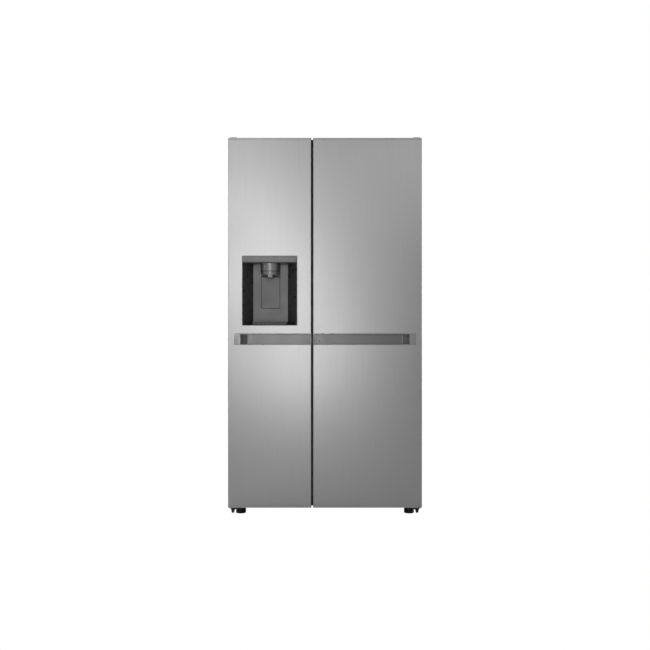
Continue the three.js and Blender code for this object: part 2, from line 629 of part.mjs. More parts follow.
// The folded steel front: face and both sides, open at the top, the bottom and the back.
function doorSkin(door) {
  const [bottom, top] = [DOOR_BOTTOM + CAP_HEIGHT, DOOR_TOP - CAP_HEIGHT];
  const outside = prism('z', doorPlan(door, 0), bottom, top);
  const inside = prism('z', doorPlan(door, SHEET, CABINET_FRONT), bottom - 5, top + 5);
  const handle = box(...across(door, HANDLE_START, door.width + 5), FRONT - 5, FRONT + HANDLE_DEPTH + GAP,
    HANDLE_BOTTOM, HANDLE_TOP);
  const skin = cut(outside, inside, handle);
  return door === FREEZER ? cut(skin, dispenserMouth(0, FRONT + 10)) : skin;
}

const dispenserMouth = (room, rear) => prism('y', dispenserOpening(room), FRONT - 5, rear);

// Rigid foam between the skin and the inner liner.
function doorFoam(door) {
  const [bottom, top] = [DOOR_BOTTOM + CAP_HEIGHT + CAP_PLUG + GAP, DOOR_TOP - CAP_HEIGHT - CAP_PLUG - GAP];
  const block = prism('z', doorPlan(door, SHEET + GAP), bottom, top);
  const core = cut(block, handleBody(door, GAP));
  return door === FREEZER ? cut(core, dispenserMouth(0, FRONT + 7), housingBody(GAP), iceDuct(GAP)) : core;
}

function doorCap(door, end) {
  const [edge, seam, tip] = end === 'top'
    ? [DOOR_TOP, DOOR_TOP - CAP_HEIGHT + GAP, DOOR_TOP - CAP_HEIGHT - CAP_PLUG]
    : [DOOR_BOTTOM, DOOR_BOTTOM + CAP_HEIGHT - GAP, DOOR_BOTTOM + CAP_HEIGHT + CAP_PLUG];
  const visible = prism('z', doorPlan(door, 0), Math.min(edge, seam), Math.max(edge, seam));
  const plug = prism('z', doorPlan(door, SHEET + GAP), Math.min(edge, tip) + 1, Math.max(edge, tip) - 1);
  const bush = rod('z', [door.hingeX, HINGE_Y, Math.min(edge, tip) - 5],
    CAP_HEIGHT + CAP_PLUG + 10, PIN_HOLE_RADIUS);
  return cut(join(visible, plug), bush);
}

const DIKE = { start: 66, width: 24, endInset: 35, bottom: 113, top: 1690, rear: -245.5 };

// The formed inner panel, with the raised dike that the bins hang between.
function doorLiner(door) {
  const plate = box(...across(door, 1, door.width - 1), DOOR_REAR + GAP, LINER_PLATE_REAR,
    DOOR_BOTTOM + CAP_HEIGHT + 3, DOOR_TOP - CAP_HEIGHT - 3);
  const { start, width, endInset, bottom, top, rear } = DIKE;
  const end = door.width - endInset;
  const ring = cut(box(...across(door, start, end), DOOR_REAR + 1, rear, bottom, top),
    box(...across(door, start + width, end - width), DOOR_REAR, rear + 10, bottom + width, top - width));
  return door === FRIDGE ? join(plate, ring) : cut(join(plate, ring), housingBody(GAP), iceDuct(GAP));
}

// The insulated cover on the inside of the freezer door, over the back of the dispenser and its duct.
function dispenserRearCover() {
  const halfWidth = 105.5;
  const [front, rear] = [LINER_PLATE_REAR + GAP, -236.5];
  const block = box(DISPENSER_X - halfWidth, DISPENSER_X + halfWidth, front, rear, 885, ICE_BOX.floor - 0.4);
  return cut(block, housingBody(GAP), iceDuct(GAP));
}

// The magnetic seal around the door's rear face.
function gasket(door) {
  const width = 18;
  const [x0, x1] = across(door, 25.5, door.width - 4.5);
  const [z0, z1] = [58, 1744];
  const [y0, y1] = [LINER_PLATE_REAR + GAP, CABINET_FRONT - GAP];
  return cut(box(x0, x1, y0, y1, z0, z1),
    box(x0 + width, x1 - width, y0 - 1, y1 + 1, z0 + width, z1 - width));
}

// The curved end of a handle's trough, in distances from the door's outer side.
const RAMP = { start: 58, end: 91, power: 1.7 };

// The outside of a recessed handle: the trough in the door's face and the finger room above it.
function handleBody(door, room) {
  const trough = box(...across(door, HANDLE_START + GAP - room, door.width + room), FRONT - room,
    FRONT + HANDLE_DEPTH + room, HANDLE_BOTTOM + GAP - room, HANDLE_TOP - GAP + room);
  const upper = box(...across(door, RAMP.end + 3 - room, door.width - 5 + room), FRONT + 4 - room,
    FRONT + HANDLE_DEPTH + room, HANDLE_TOP - 5, HANDLE_TOP + 24 + room);
  return join(trough, upper);
}

// A handle trough: a flat end block, a curved ramp down to the floor and an undercut behind the upper lip.
function handle(door) {
  const lip = 3;
  const floorY = FRONT + HANDLE_DEPTH - 2.5;
  const innerEnd = door.width - 2.5;
  const ramp = range(6).map((i) => {
    const t = i / 5;
    return [RAMP.start + (RAMP.end - RAMP.start) * t, FRONT + (floorY - FRONT) * (1 - (1 - t) ** RAMP.power)];
  });
  const outline = [[RAMP.start, FRONT - 5], ...ramp, [innerEnd, floorY], [innerEnd, FRONT - 5]]
    .map(([distance, y]) => [door.outer - door.side * distance, y]);
  const recess = prism('z', outline, HANDLE_BOTTOM + lip, HANDLE_TOP - lip);
  const undercut = box(...across(door, RAMP.end + 7, door.width - 8), FRONT + 7, floorY,
    HANDLE_TOP - 10, HANDLE_TOP + 21);
  return cut(handleBody(door, 0), recess, undercut);
}

// An open bin that hangs between the sides of the dike.
function doorBin(door, z0, z1) {
  const { start, width, endInset } = DIKE;
  const [x0, x1] = across(door, start + width + 0.5, door.width - endInset - width - 0.5);
  const [front, rear, chamfer] = [LINER_PLATE_REAR + GAP, -172.5, 14];
  const plan = [
    [x0, front], [x1, front], [x1, rear - chamfer],
    [x1 - chamfer, rear], [x0 + chamfer, rear], [x0, rear - chamfer],
  ];
  const wall = 3;
  return cut(prism('z', plan, z0, z1), prism('z', grow(plan, -wall), z0 + wall, z1 + 5));
}

// ---------------------------------------------------------------- ice and water dispenser

// Plan (x, y) of the dispenser's cavity: its sides curve in from the mouth to the rear panel.
function cavityPlan(room) {
  const mouth = DISPENSER_HALF_WIDTH - 3;
  const steps = 5;
  const right = range(steps + 1).map((i) => {
    const t = i / steps;
    const half = CAVITY_REAR_HALF_WIDTH + (mouth - CAVITY_REAR_HALF_WIDTH) * (1 - t) ** 1.3;
    return [DISPENSER_X + half + room, FRONT + (CAVITY_REAR - FRONT) * t];
  });
  right[steps] = [right[steps][0], CAVITY_REAR + room];
  const left = right.map(([x, y]) => [2 * DISPENSER_X - x, y]).reverse();
  return [...right, ...left];
}

const LEVER = {
  halfWidth: 43.75, top: 1134, bottom: 979, pivotY: CAVITY_REAR, pivotZ: 1129, barrel: 4, barrelHalf: 46.5,
};
const LEVER_ROOM_REAR = -245;          // rear of the room that the push pad swings back into

// The outside of the dispenser's housing, grown by the room its neighbours leave around it.
function housingBody(room) {
  const plan = [...cavityPlan(DISPENSER_WALL + room)];
  plan[0] = [plan[0][0], FRONT - room];
  plan[plan.length - 1] = [plan[plan.length - 1][0], FRONT - room];
  const tub = prism('z', plan, DISPENSER_BOTTOM + GAP - room, CAVITY_ROOF + 3 + room)
    .intersect(dispenserMouth(room - GAP, -200));
  const crown = box(DISPENSER_X - 126 - room, DISPENSER_X + 126 + room, FRONT + 7 - room, -294 + room,
    CAVITY_ROOF - 2 - room, DISPENSER_TOP - GAP + room);
  const leverBox = box(DISPENSER_X - 50 - room, DISPENSER_X + 50 + room,
    CAVITY_REAR, LEVER_ROOM_REAR + DISPENSER_WALL + room, LEVER.bottom - 6 - room, LEVER.top + 6 + room);
  return join(tub, crown, leverBox);
}

function dispenserHousing() {
  const cavity = prism('z', cavityPlan(0), DISPENSER_BOTTOM + DISPENSER_WALL, CAVITY_ROOF);
  const mouth = box(DISPENSER_X - DISPENSER_HALF_WIDTH + 3, DISPENSER_X + DISPENSER_HALF_WIDTH - 3,
    FRONT - 5, FRONT + 1, DISPENSER_BOTTOM + DISPENSER_WALL, CAVITY_ROOF);
  const { halfWidth, top, bottom, pivotY, pivotZ, barrel, barrelHalf } = LEVER;
  const leverRoom = box(DISPENSER_X - halfWidth - 1.5, DISPENSER_X + halfWidth + 1.5, CAVITY_REAR - 5,
    LEVER_ROOM_REAR, bottom - 3, top + 3);
  const barrelRoom = rod('x', [DISPENSER_X - barrelHalf - 1, pivotY, pivotZ],
    2 * barrelHalf + 2, barrel + 0.4);
  return cut(housingBody(0), cavity, mouth, leverRoom, barrelRoom, iceDuct(GAP));
}

// The control panel strip above the cavity.
function dispenserPanel() {
  const [x0, x1] = [DISPENSER_X - DISPENSER_HALF_WIDTH + GAP, DISPENSER_X + DISPENSER_HALF_WIDTH - GAP];
  const [z0, z1, radius] = [PANEL_BOTTOM, DISPENSER_TOP - GAP, 4.5];
  const face = [
    [x0, z0], [x1, z0],
    ...arc(x1 - radius, z1 - radius, radius, 0, 90), ...arc(x0 + radius, z1 - radius, radius, 90, 180),
  ];
  return prism('y', face, FRONT, FRONT + 7 - GAP);
}

// The duct that leads ice down through the door, grown by the room its neighbours leave around it.
function iceDuct(room) {
  const outside = grow(ICE_WAY, DISPENSER_WALL + room);
  const half = ICE_WAY_HALF_WIDTH + DISPENSER_WALL + room;
  return prism('x', outside, DISPENSER_X - half, DISPENSER_X + half);
}

const OUTLET_Y = -323;
const NOZZLE = { radius: 21, top: 1146, shoulder: 1136.4, tip: 1125 };
const NOSE = { y: -319, radius: 46, bottom: 1148, ringRadius: 44, ringBottom: 1137 };

// The duct with the chute's visible round nose at its lower end.
function iceChute() {
  const ceiling = CAVITY_ROOF - GAP;
  const { y, radius, bottom, ringRadius, ringBottom } = NOSE;
  const nose = rod('z', [DISPENSER_X, y, bottom], ceiling - bottom, radius - 1, radius, 40);
  const back = box(DISPENSER_X - radius + 2, DISPENSER_X + radius - 2, y, CAVITY_REAR - GAP, bottom, ceiling);
  const ringHeight = bottom - ringBottom + 1;
  const ring = rod('z', [DISPENSER_X, y, ringBottom], ringHeight, ringRadius - 1, ringRadius, 40);
  const way = ICE_WAY.map(([v, w]) => (w === DUCT_TOP ? [v + 6, w + 9] : [v, w]));
  const passage = prism('x', way, DISPENSER_X - ICE_WAY_HALF_WIDTH, DISPENSER_X + ICE_WAY_HALF_WIDTH);
  const outlet = rod('z', [DISPENSER_X, OUTLET_Y, ringBottom - 7], 35, NOZZLE.radius + 0.4);
  const above = box(DISPENSER_X - 60, DISPENSER_X + 60, FRONT, BACK, ICE_BOX.floor - 0.4, DUCT_TOP + 13);
  return cut(join(iceDuct(0), nose, back, ring), passage, outlet, above);
}

// The bright tip that ice and water fall through.
function waterNozzle() {
  const { radius, top, shoulder, tip } = NOZZLE;
  const profile = [
    [17, top], [radius, top], [radius, shoulder], [19, shoulder], [16.5, tip], [14, tip], [17, top],
  ];
  return turned('z', [DISPENSER_X, OUTLET_Y, 0], profile, 28);
}

const FLAP_PIVOT = { y: -305, z: 1215 };

// The flap that closes the duct. It hangs from a bar across the rear of the passage.
function chuteFlap() {
  const half = ICE_WAY_HALF_WIDTH - 1.5;
  const { y, z } = FLAP_PIVOT;
  const tipY = ICE_WAY[0][0] + 2;
  return join(box(DISPENSER_X - half, DISPENSER_X + half, tipY, y, z - 1.5, z + 1.5),
    rod('x', [DISPENSER_X - half, y, z], 2 * half, 3, 3, 16));
}

// The push pad at the back of the cavity, with the barrel that it swings on.
function dispenserLever() {
  const { halfWidth, top, bottom, pivotY, pivotZ, barrel, barrelHalf } = LEVER;
  const round = 7;
  const [x0, x1] = [DISPENSER_X - halfWidth, DISPENSER_X + halfWidth];
  const face = [
    ...arc(x0 + round, bottom + round, round, 180, 270), ...arc(x1 - round, bottom + round, round, 270, 360),
    [x1, top - 5], [x0, top - 5],
  ];
  return join(prism('y', face, CAVITY_REAR - 3, CAVITY_REAR + 3),
    rod('x', [DISPENSER_X - barrelHalf, pivotY, pivotZ], 2 * barrelHalf, barrel));
}

// The tray at the foot of the cavity: a shallow basin under a row of slats.
function dripTray() {
  const [bottom, top] = [DISPENSER_BOTTOM + DISPENSER_WALL + GAP, DISPENSER_BOTTOM + 16];
  const [x0, x1] = [DISPENSER_X - CAVITY_REAR_HALF_WIDTH + 1, DISPENSER_X + CAVITY_REAR_HALF_WIDTH - 1];
  const [front, rear] = [FRONT + 6, CAVITY_REAR - GAP];
  const rim = 4;
  const slatCount = 8;
  const basin = cut(prism('z', roundedRectangle(x0, x1, front, rear, 3), bottom, top),
    box(x0 + rim, x1 - rim, front + rim, rear - rim, bottom + 3, top + 5));
  const slats = range(slatCount).map((i) => {
    const y = front + rim + ((rear - front - 2 * rim) * (i + 1)) / (slatCount + 1);
    return box(x0 + rim - 1, x1 - rim + 1, y - 2, y + 2, top - 4, top - 1);
  });
  return join(basin, ...slats);
}

// The bucket that holds the made ice. Its floor opens into the duct, and its rear wall is lower to reach in.
function iceBucket() {
  const { left, right, front, rear, floor, split } = ICE_BOX;
  const wall = 3;
  const outside = box(left, right, front, rear, floor, split);
  const inside = box(left + wall, right - wall, front + wall, rear - wall, floor + wall, split + 5);
  const outlet = box(DISPENSER_X - ICE_WAY_HALF_WIDTH, DISPENSER_X + ICE_WAY_HALF_WIDTH,
    ICE_WAY[4][0] + 2, ICE_WAY[3][0], floor - 5, floor + 5);
  const scoopEdge = box(left + 18, right - 18, rear - 10, rear + 5, split - 62, split + 5);
  return cut(outside, inside, outlet, scoopEdge);
}

// The ice maker: a hood open to the bucket below, with a mould across it.
function icemaker() {
  const { left, right, front, rear, split, top } = ICE_BOX;
  const bottom = split + 1;
  const hood = cut(box(left, right, front, rear, bottom, top),
    box(left + 3, right - 34, front + 3, rear - 3, bottom - 5, top - 3));
  const middle = (front + rear) / 2;
  const axisZ = 1590;
  const trenchLength = right - left - 44;
  const mould = rod('x', [left + 1, middle, axisZ], right - left - 30, 34, 34, 20);
  const trench = rod('x', [left + 6, middle, axisZ], trenchLength, 31, 31, 20);
  const lid = box(left, right, front, rear, axisZ, axisZ + 40);
  const walls = range(5).map((i) => {
    const x = left + 6 + (trenchLength * (i + 1)) / 6;
    return rod('x', [x - 1.5, middle, axisZ], 3, 32, 32, 20);
  });
  return join(hood, cut(join(cut(mould, trench), ...walls), lid));
}

// ---------------------------------------------------------------- assembly

piece('cabinet_case', cabinetCase(), sidePaint());
piece('back_panel', backPanel(), zincSteel());
piece('base_plate', basePlate(), blackEnamel());
piece('foam_insulation', foamInsulation(), foam());
piece('top_cover', topCover(), blackPlastic());

const { lowerFloor, lowerTop, upperFloor, upperTop, rearLow } = DRAWER_LEVELS;
const SHELF_REAR = { freezer: 220, fridge: 256 };
for (const door of [FREEZER, FRIDGE]) {
  const rear = SHELF_REAR[door.name];
  const shelfLedges = [...SHELF_LEVELS[door.name], ...(door === FRIDGE ? [SHELF_LEVELS.crisperCover] : [])]
    .map((z) => ({ z, outer: LEDGE, inner: LEDGE, rear: rear - 20 }));
  const drawerLedge = { z: upperFloor, outer: 36, inner: DRAWER_GUIDE + 5, rear: rear - 20 };
  piece(`${door.name}_liner`, cabinetLiner(door, [...shelfLedges, drawerLedge]), whitePlastic());
  SHELF_LEVELS[door.name].forEach((z, i) => {
    piece(`${door.name}_shelf_${i + 1}`, shelf(door, z, rear), clearPlastic());
  });
}
piece('crisper_cover', shelf(FRIDGE, SHELF_LEVELS.crisperCover, SHELF_REAR.fridge), clearPlastic());
piece('freezer_drawer_upper', drawer(FREEZER, upperFloor, upperTop, SHELF_REAR.freezer), clearPlastic());
piece('freezer_drawer_lower', drawer(FREEZER, lowerFloor, lowerTop, rearLow), clearPlastic());
piece('crisper_upper', drawer(FRIDGE, upperFloor, upperTop, SHELF_REAR.fridge), clearPlastic());
piece('crisper_lower', drawer(FRIDGE, lowerFloor, lowerTop, rearLow), clearPlastic());

piece('compressor', compressor(), blackEnamel());
piece('condenser', condenser(), blackEnamel());
piece('condenser_fan', condenserFan(), darkPlastic());
piece('evaporator', evaporator(), aluminium());
piece('evaporator_fan', evaporatorFan(), whitePlastic());
piece('evaporator_cover', evaporatorCover(), whitePlastic());
piece('fridge_duct_panel', fridgeDuctPanel(), whitePlastic());
piece('machine_cover', machineCover(), blackPlastic());

for (const [label, side] of [['left', -1], ['right', 1]]) {
  piece(`upper_hinge_${label}`, upperHinge(side), zincSteel());
  piece(`lower_hinge_${label}`, lowerHinge(side), blackEnamel());
  piece(`foot_${label}`, levellingFoot(side), blackPlastic());
  piece(`rear_roller_${label}`, rearRoller(side), blackPlastic());
}

for (const door of [FREEZER, FRIDGE]) {
  piece(`${door.name}_door_skin`, doorSkin(door), steel());
  piece(`${door.name}_door_foam`, doorFoam(door), foam());
  piece(`${door.name}_door_liner`, doorLiner(door), whitePlastic());
  piece(`${door.name}_door_cap_top`, doorCap(door, 'top'), greyPlastic());
  piece(`${door.name}_door_cap_bottom`, doorCap(door, 'bottom'), greyPlastic());
  piece(`${door.name}_door_gasket`, gasket(door), rubber());
  piece(`${door.name}_door_handle`, handle(door), greyPlastic());
}
piece('freezer_bin_lower', doorBin(FREEZER, 230, 350), clearPlastic());
piece('freezer_bin_upper', doorBin(FREEZER, 560, 680), clearPlastic());
piece('fridge_bin_lower', doorBin(FRIDGE, 230, 370), clearPlastic());
piece('fridge_bin_upper', doorBin(FRIDGE, 1100, 1220), clearPlastic());

piece('dispenser_housing', dispenserHousing(), darkPlastic());
piece('dispenser_panel', dispenserPanel(), greyPlastic());
piece('dispenser_rear_cover', dispenserRearCover(), whitePlastic());
piece('ice_chute', iceChute(), darkPlastic());
piece('water_nozzle', waterNozzle(), chrome());
piece('chute_flap', chuteFlap(), greyPlastic());
piece('dispenser_lever', dispenserLever(), darkPlastic());
piece('drip_tray', dripTray(), darkPlastic());
piece('ice_bucket', iceBucket(), clearPlastic());
piece('icemaker', icemaker(), whitePlastic());

export default refrigerator;
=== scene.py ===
"""The looks of a side by side refrigerator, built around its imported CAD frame.

Lengths are in metres in the frame's own axes: +Z up, doors towards -Y, freezer towards -X.
Places come from the boxes of the CAD nodes, so the pieces follow the frame if it changes.
"""

import json
import math

import bmesh
import bpy
from mathutils import Matrix, Vector


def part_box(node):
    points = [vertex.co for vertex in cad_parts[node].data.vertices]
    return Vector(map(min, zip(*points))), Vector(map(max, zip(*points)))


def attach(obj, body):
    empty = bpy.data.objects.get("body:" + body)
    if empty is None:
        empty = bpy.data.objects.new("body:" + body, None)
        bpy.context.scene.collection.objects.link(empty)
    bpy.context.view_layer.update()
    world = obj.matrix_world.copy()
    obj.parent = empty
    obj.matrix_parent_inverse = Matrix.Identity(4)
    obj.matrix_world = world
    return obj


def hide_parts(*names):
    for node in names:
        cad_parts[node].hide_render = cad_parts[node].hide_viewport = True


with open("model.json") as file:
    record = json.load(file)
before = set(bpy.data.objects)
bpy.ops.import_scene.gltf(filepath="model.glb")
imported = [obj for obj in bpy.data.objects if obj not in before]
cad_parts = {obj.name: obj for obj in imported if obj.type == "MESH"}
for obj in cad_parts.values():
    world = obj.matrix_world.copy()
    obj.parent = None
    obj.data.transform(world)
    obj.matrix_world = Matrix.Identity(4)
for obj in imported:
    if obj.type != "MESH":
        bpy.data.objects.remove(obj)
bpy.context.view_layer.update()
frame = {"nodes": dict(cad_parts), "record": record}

NODES = frame["nodes"]
RECORD = frame["record"]
BODY_OF = {node: body for body, nodes in RECORD["behaviour"]["bodies"].items() for node in nodes}
SLOT_OF = {row["node"]: row["material_slot"] for row in RECORD["subparts"]}
MM = 0.001
DOORS = ("freezer", "fridge")

# ------------------------------------------------------------------ materials: the toolkit


class Surface:
    """A node material under construction: a Principled shader and the patterns that vary it."""

    def __init__(self, name, color, roughness, **sockets):
        self.material = bpy.data.materials.new(name)
        self.material.use_nodes = True
        self.material.diffuse_color = (*color, 1)
        self.nodes = self.material.node_tree.nodes
        self.links = self.material.node_tree.links
        self.shader = self.nodes["Principled BSDF"]
        self.color, self.roughness = color, roughness
        self.place = self.nodes.new("ShaderNodeTexCoord").outputs["Object"]
        self.height = None
        for socket, value in sockets.items():
            self.shader.inputs[socket.replace("_", " ")].default_value = value

    def add(self, kind, **settings):
        node = self.nodes.new(kind)
        for key, value in settings.items():
            setattr(node, key, value)
        return node

    def stretched(self, scale):
        """The piece's own coordinates, with each axis multiplied by its scale."""
        node = self.add("ShaderNodeMapping")
        node.inputs["Scale"].default_value = scale
        self.links.new(self.place, node.inputs["Vector"])
        return node.outputs["Vector"]

    def noise(self, scale, detail=3.0, stretch=(1, 1, 1)):
        node = self.add("ShaderNodeTexNoise")
        node.inputs["Scale"].default_value = scale
        node.inputs["Detail"].default_value = detail
        self.links.new(self.stretched(stretch), node.inputs["Vector"])
        return node.outputs["Fac"]

    def cells(self, scale, output="Distance"):
        node = self.add("ShaderNodeTexVoronoi")
        node.inputs["Scale"].default_value = scale
        self.links.new(self.stretched((1, 1, 1)), node.inputs["Vector"])
        return node.outputs[output]

    def remap(self, value, low, high, new_low, new_high):
        node = self.add("ShaderNodeMapRange")
        self.links.new(value, node.inputs["Value"])
        ends = {"From Min": low, "From Max": high, "To Min": new_low, "To Max": new_high}
        for socket, number in ends.items():
            node.inputs[socket].default_value = number
        return node.outputs["Result"]

    def depth_mask(self, start, end):
        """0 at one Y and 1 at the other, along the piece's own Y axis."""
        split = self.add("ShaderNodeSeparateXYZ")
        self.links.new(self.place, split.inputs["Vector"])
        return self.remap(split.outputs["Y"], start, end, 0.0, 1.0)

    def worn_edges(self, radius):
        """1 on edges that have less than the radius to the next face, 0 on open faces."""
        bevel = self.add("ShaderNodeBevel", samples=4)
        bevel.inputs["Radius"].default_value = radius
        plain = self.add("ShaderNodeNewGeometry")
        dot = self.add("ShaderNodeVectorMath", operation="DOT_PRODUCT")
        self.links.new(bevel.outputs["Normal"], dot.inputs[0])
        self.links.new(plain.outputs["Normal"], dot.inputs[1])
        return self.remap(dot.outputs["Value"], 0.99, 0.85, 0.0, 1.0)

    def tint(self, mask, other):
        """Turns the colour to the other one where the mask is 1."""
        node = self.add("ShaderNodeMix", data_type="RGBA")
        first, second = node.inputs[6], node.inputs[7]
        base = self.shader.inputs["Base Color"]
        if base.is_linked:
            self.links.new(base.links[0].from_socket, first)
        else:
            first.default_value = (*self.color, 1)
        second.default_value = (*other, 1)
        self.links.new(mask, node.inputs[0])
        self.links.new(node.outputs[2], base)
        return self

    def mottle(self, pattern, amount, low=0.3, high=0.7):
        """Lightens the colour by up to the amount where the pattern is high."""
        lighter = tuple(min(1.0, part * (1 + amount)) for part in self.color)
        return self.tint(self.remap(pattern, low, high, 0.0, 1.0), lighter)

    def rough(self, pattern, amount, low=0.3, high=0.7):
        """Lets the roughness swing by the amount to both sides of its value."""
        swing = self.remap(pattern, low, high, self.roughness - amount, self.roughness + amount)
        self.links.new(swing, self.shader.inputs["Roughness"])
        return self

    def bump(self, pattern, depth, strength=1.0):
        """Adds a relief of that depth in metres on top of any earlier one."""
        node = self.add("ShaderNodeBump")
        node.inputs["Distance"].default_value = depth
        node.inputs["Strength"].default_value = strength
        self.links.new(pattern, node.inputs["Height"])
        if self.height is not None:
            self.links.new(self.height, node.inputs["Normal"])
        self.height = node.outputs["Normal"]
        self.links.new(self.height, self.shader.inputs["Normal"])
        return self


def grey(value, warmth=0.0):
    """A neutral colour, a little warmer or cooler."""
    return (value * (1 + warmth), value, value * (1 - warmth))


# ------------------------------------------------------------------ materials: one per finish


def brushed_sheet(name, color, roughness, grain=(900, 900, 5)):
    """Brushed steel: fine streaks along the sheet, with a faint unevenness over a larger scale."""
    s = Surface(name, color, roughness, Metallic=1.0)
    streaks = s.noise(1.0, 4.0, grain)
    clouds = s.noise(2.2, 2.0)
    broad = s.noise(1.0, 3.0, tuple(part / 9 for part in grain))
    s.mottle(streaks, 0.07)
    s.rough(clouds, 0.015)
    return s.bump(streaks, 0.00004, 0.35).bump(broad, 0.0001, 0.12).material


def painted_steel(name, color, roughness, metallic=0.3):
    """Coated sheet steel with the fine orange peel of its paint."""
    s = Surface(name, color, roughness, Metallic=metallic)
    s.mottle(s.noise(3.0), 0.05)
    s.rough(s.noise(40.0), 0.05)
    s.bump(s.noise(520.0, 2.0), 0.00012, 0.35)
    edges = s.worn_edges(0.0012)
    return s.tint(s.remap(edges, 0.0, 1.0, 0.0, 0.35), tuple(min(1, c * 1.7) for c in color)).material


def zinc_sheet(name, color, roughness):
    """Galvanised steel with the spangle of its zinc crystals."""
    s = Surface(name, color, roughness, Metallic=0.9)
    spangle = s.cells(55.0, "Color")
    s.mottle(spangle, 0.22, 0.1, 0.9)
    s.rough(spangle, 0.08, 0.1, 0.9)
    return s.bump(s.noise(260.0), 0.0001, 0.3).material


def enamel(name, color, roughness):
    """Black enamel, chipped lighter along its edges and dusty in patches."""
    s = Surface(name, color, roughness, Coat_Weight=0.25)
    s.tint(s.remap(s.noise(14.0, 5.0), 0.5, 0.8, 0.0, 0.35), grey(0.11, 0.05))
    s.tint(s.remap(s.worn_edges(0.0015), 0.0, 1.0, 0.0, 0.5), grey(0.16))
    s.rough(s.noise(60.0), 0.08)
    return s.bump(s.noise(480.0, 2.0), 0.0001, 0.4).material


def moulded_plastic(name, color, roughness, grain=1400.0, relief=0.00006, wear=0.3, **sockets):
    """Moulded plastic with a fine grain, rubbed a little lighter along its edges."""
    s = Surface(name, color, roughness, **sockets)
    s.mottle(s.noise(9.0), 0.08)
    rubbed = tuple(min(1, part * 1.8 + 0.01) for part in color)
    s.tint(s.remap(s.worn_edges(0.0012), 0.0, 1.0, 0.0, wear), rubbed)
    s.rough(s.noise(35.0), 0.05)
    return s.bump(s.noise(grain, 1.5), relief, 0.5).material


def metallic_paint(name, color, roughness):
    """Plastic with a metallic lacquer: fine flakes under a thin clear coat."""
    s = Surface(name, color, roughness, Metallic=0.85, Coat_Weight=0.15, Coat_Roughness=0.2)
    s.mottle(s.cells(1500.0, "Color"), 0.14, 0.2, 0.8)
    s.rough(s.noise(18.0), 0.03)
    return s.bump(s.noise(900.0, 2.0), 0.00003, 0.4).material


def handle_lacquer(name, color, roughness, shaded_floor_color):
    """Satin lacquer over moulded plastic, with painted shade darkening the deep part of the trough."""
    s = Surface(name, color, roughness, Metallic=0.65)
    s.mottle(s.cells(1500.0, "Color"), 0.10, 0.2, 0.8)
    # Painted shade: from 70% of the trough's depth down to its floor the colour turns to the darker floor
    # grey.
    trough_shade_start = DOOR_FACE + 0.7 * (HANDLE_FLOOR - DOOR_FACE)
    s.tint(s.depth_mask(trough_shade_start, HANDLE_FLOOR), shaded_floor_color)
    s.rough(s.noise(18.0), 0.03)
    return s.bump(s.noise(900.0, 2.0), 0.00003, 0.4).material


def foam(name, color):
    """Rigid insulating foam with its open cells."""
    s = Surface(name, color, 0.95)
    s.mottle(s.noise(25.0, 4.0), 0.12)
    s.tint(s.remap(s.noise(4.0), 0.5, 0.75, 0.0, 0.4), tuple(c * 0.72 for c in color))
    s.rough(s.noise(60.0), 0.04)
    return s.bump(s.cells(420.0), 0.0008, 0.7).material


def liner(name, color, roughness):
    """Thermoformed white plastic, slightly wavy and semi-gloss."""
    s = Surface(name, color, roughness, Coat_Weight=0.2, Coat_Roughness=0.15)
    s.mottle(s.noise(4.0), -0.02)
    s.rough(s.noise(22.0), 0.04)
    return s.bump(s.noise(8.0, 1.0), 0.0004, 0.12).bump(s.noise(1100.0, 1.0), 0.00004, 0.3).material


def glass(name, color):
    """Toughened glass with faint smears."""
    s = Surface(name, color, 0.03, Transmission_Weight=0.95, IOR=1.45)
    s.mottle(s.noise(8.0), 0.05)
    s.rough(s.noise(30.0, 4.0), 0.02)
    return s.bump(s.noise(12.0, 1.0), 0.00008, 0.15).material


def clear_plastic(name, color, roughness):
    """Transparent moulded plastic with flow marks."""
    s = Surface(name, color, roughness, Transmission_Weight=0.8, IOR=1.3)
    s.mottle(s.noise(6.0), 0.05)
    s.rough(s.noise(50.0), 0.05)
    return s.bump(s.noise(1.0, 3.0, (30, 30, 90)), 0.0001, 0.25).material


def bare_metal(name, color, roughness, marks=0.12):
    """Bare metal with drawing marks and a few dull patches."""
    s = Surface(name, color, roughness, Metallic=1.0)
    s.mottle(s.noise(1.0, 4.0, (700, 60, 60)), marks)
    s.rough(s.noise(45.0, 4.0), 0.08)
    return s.bump(s.noise(600.0), 0.00005, 0.4).material


def frosted_coil(name, color):
    """Aluminium tube and fins with patches of white frost."""
    s = Surface(name, color, 0.4, Metallic=0.8)
    frost = s.remap(s.noise(30.0, 5.0), 0.48, 0.62, 0.0, 0.7)
    s.tint(frost, grey(0.86, -0.02))
    s.rough(s.noise(80.0), 0.12)
    return s.bump(s.noise(900.0), 0.0003, 0.6).material


def rubber(name, color):
    """Soft vinyl with a dull bloom."""
    s = Surface(name, color, 0.75)
    s.mottle(s.noise(30.0), 0.18)
    s.rough(s.noise(70.0), 0.08)
    return s.bump(s.noise(800.0), 0.0001, 0.5).material


def polished_chrome(name, color):
    """Chrome plate with faint finger marks."""
    s = Surface(name, color, 0.07, Metallic=1.0)
    s.mottle(s.noise(40.0), 0.06)
    s.rough(s.noise(90.0, 4.0), 0.04)
    return s.bump(s.noise(300.0), 0.00002, 0.3).material


def lamp_diffuser(name):
    """The milky cover of an inside lamp, faintly lit."""
    s = Surface(name, grey(0.9, -0.02), 0.35, Emission_Color=(0.92, 0.96, 1.0, 1), Emission_Strength=1.2)
    s.mottle(s.noise(60.0), 0.05)
    s.rough(s.noise(80.0), 0.05)
    return s.bump(s.noise(1.0, 1.0, (400, 400, 400)), 0.0002, 0.5).material


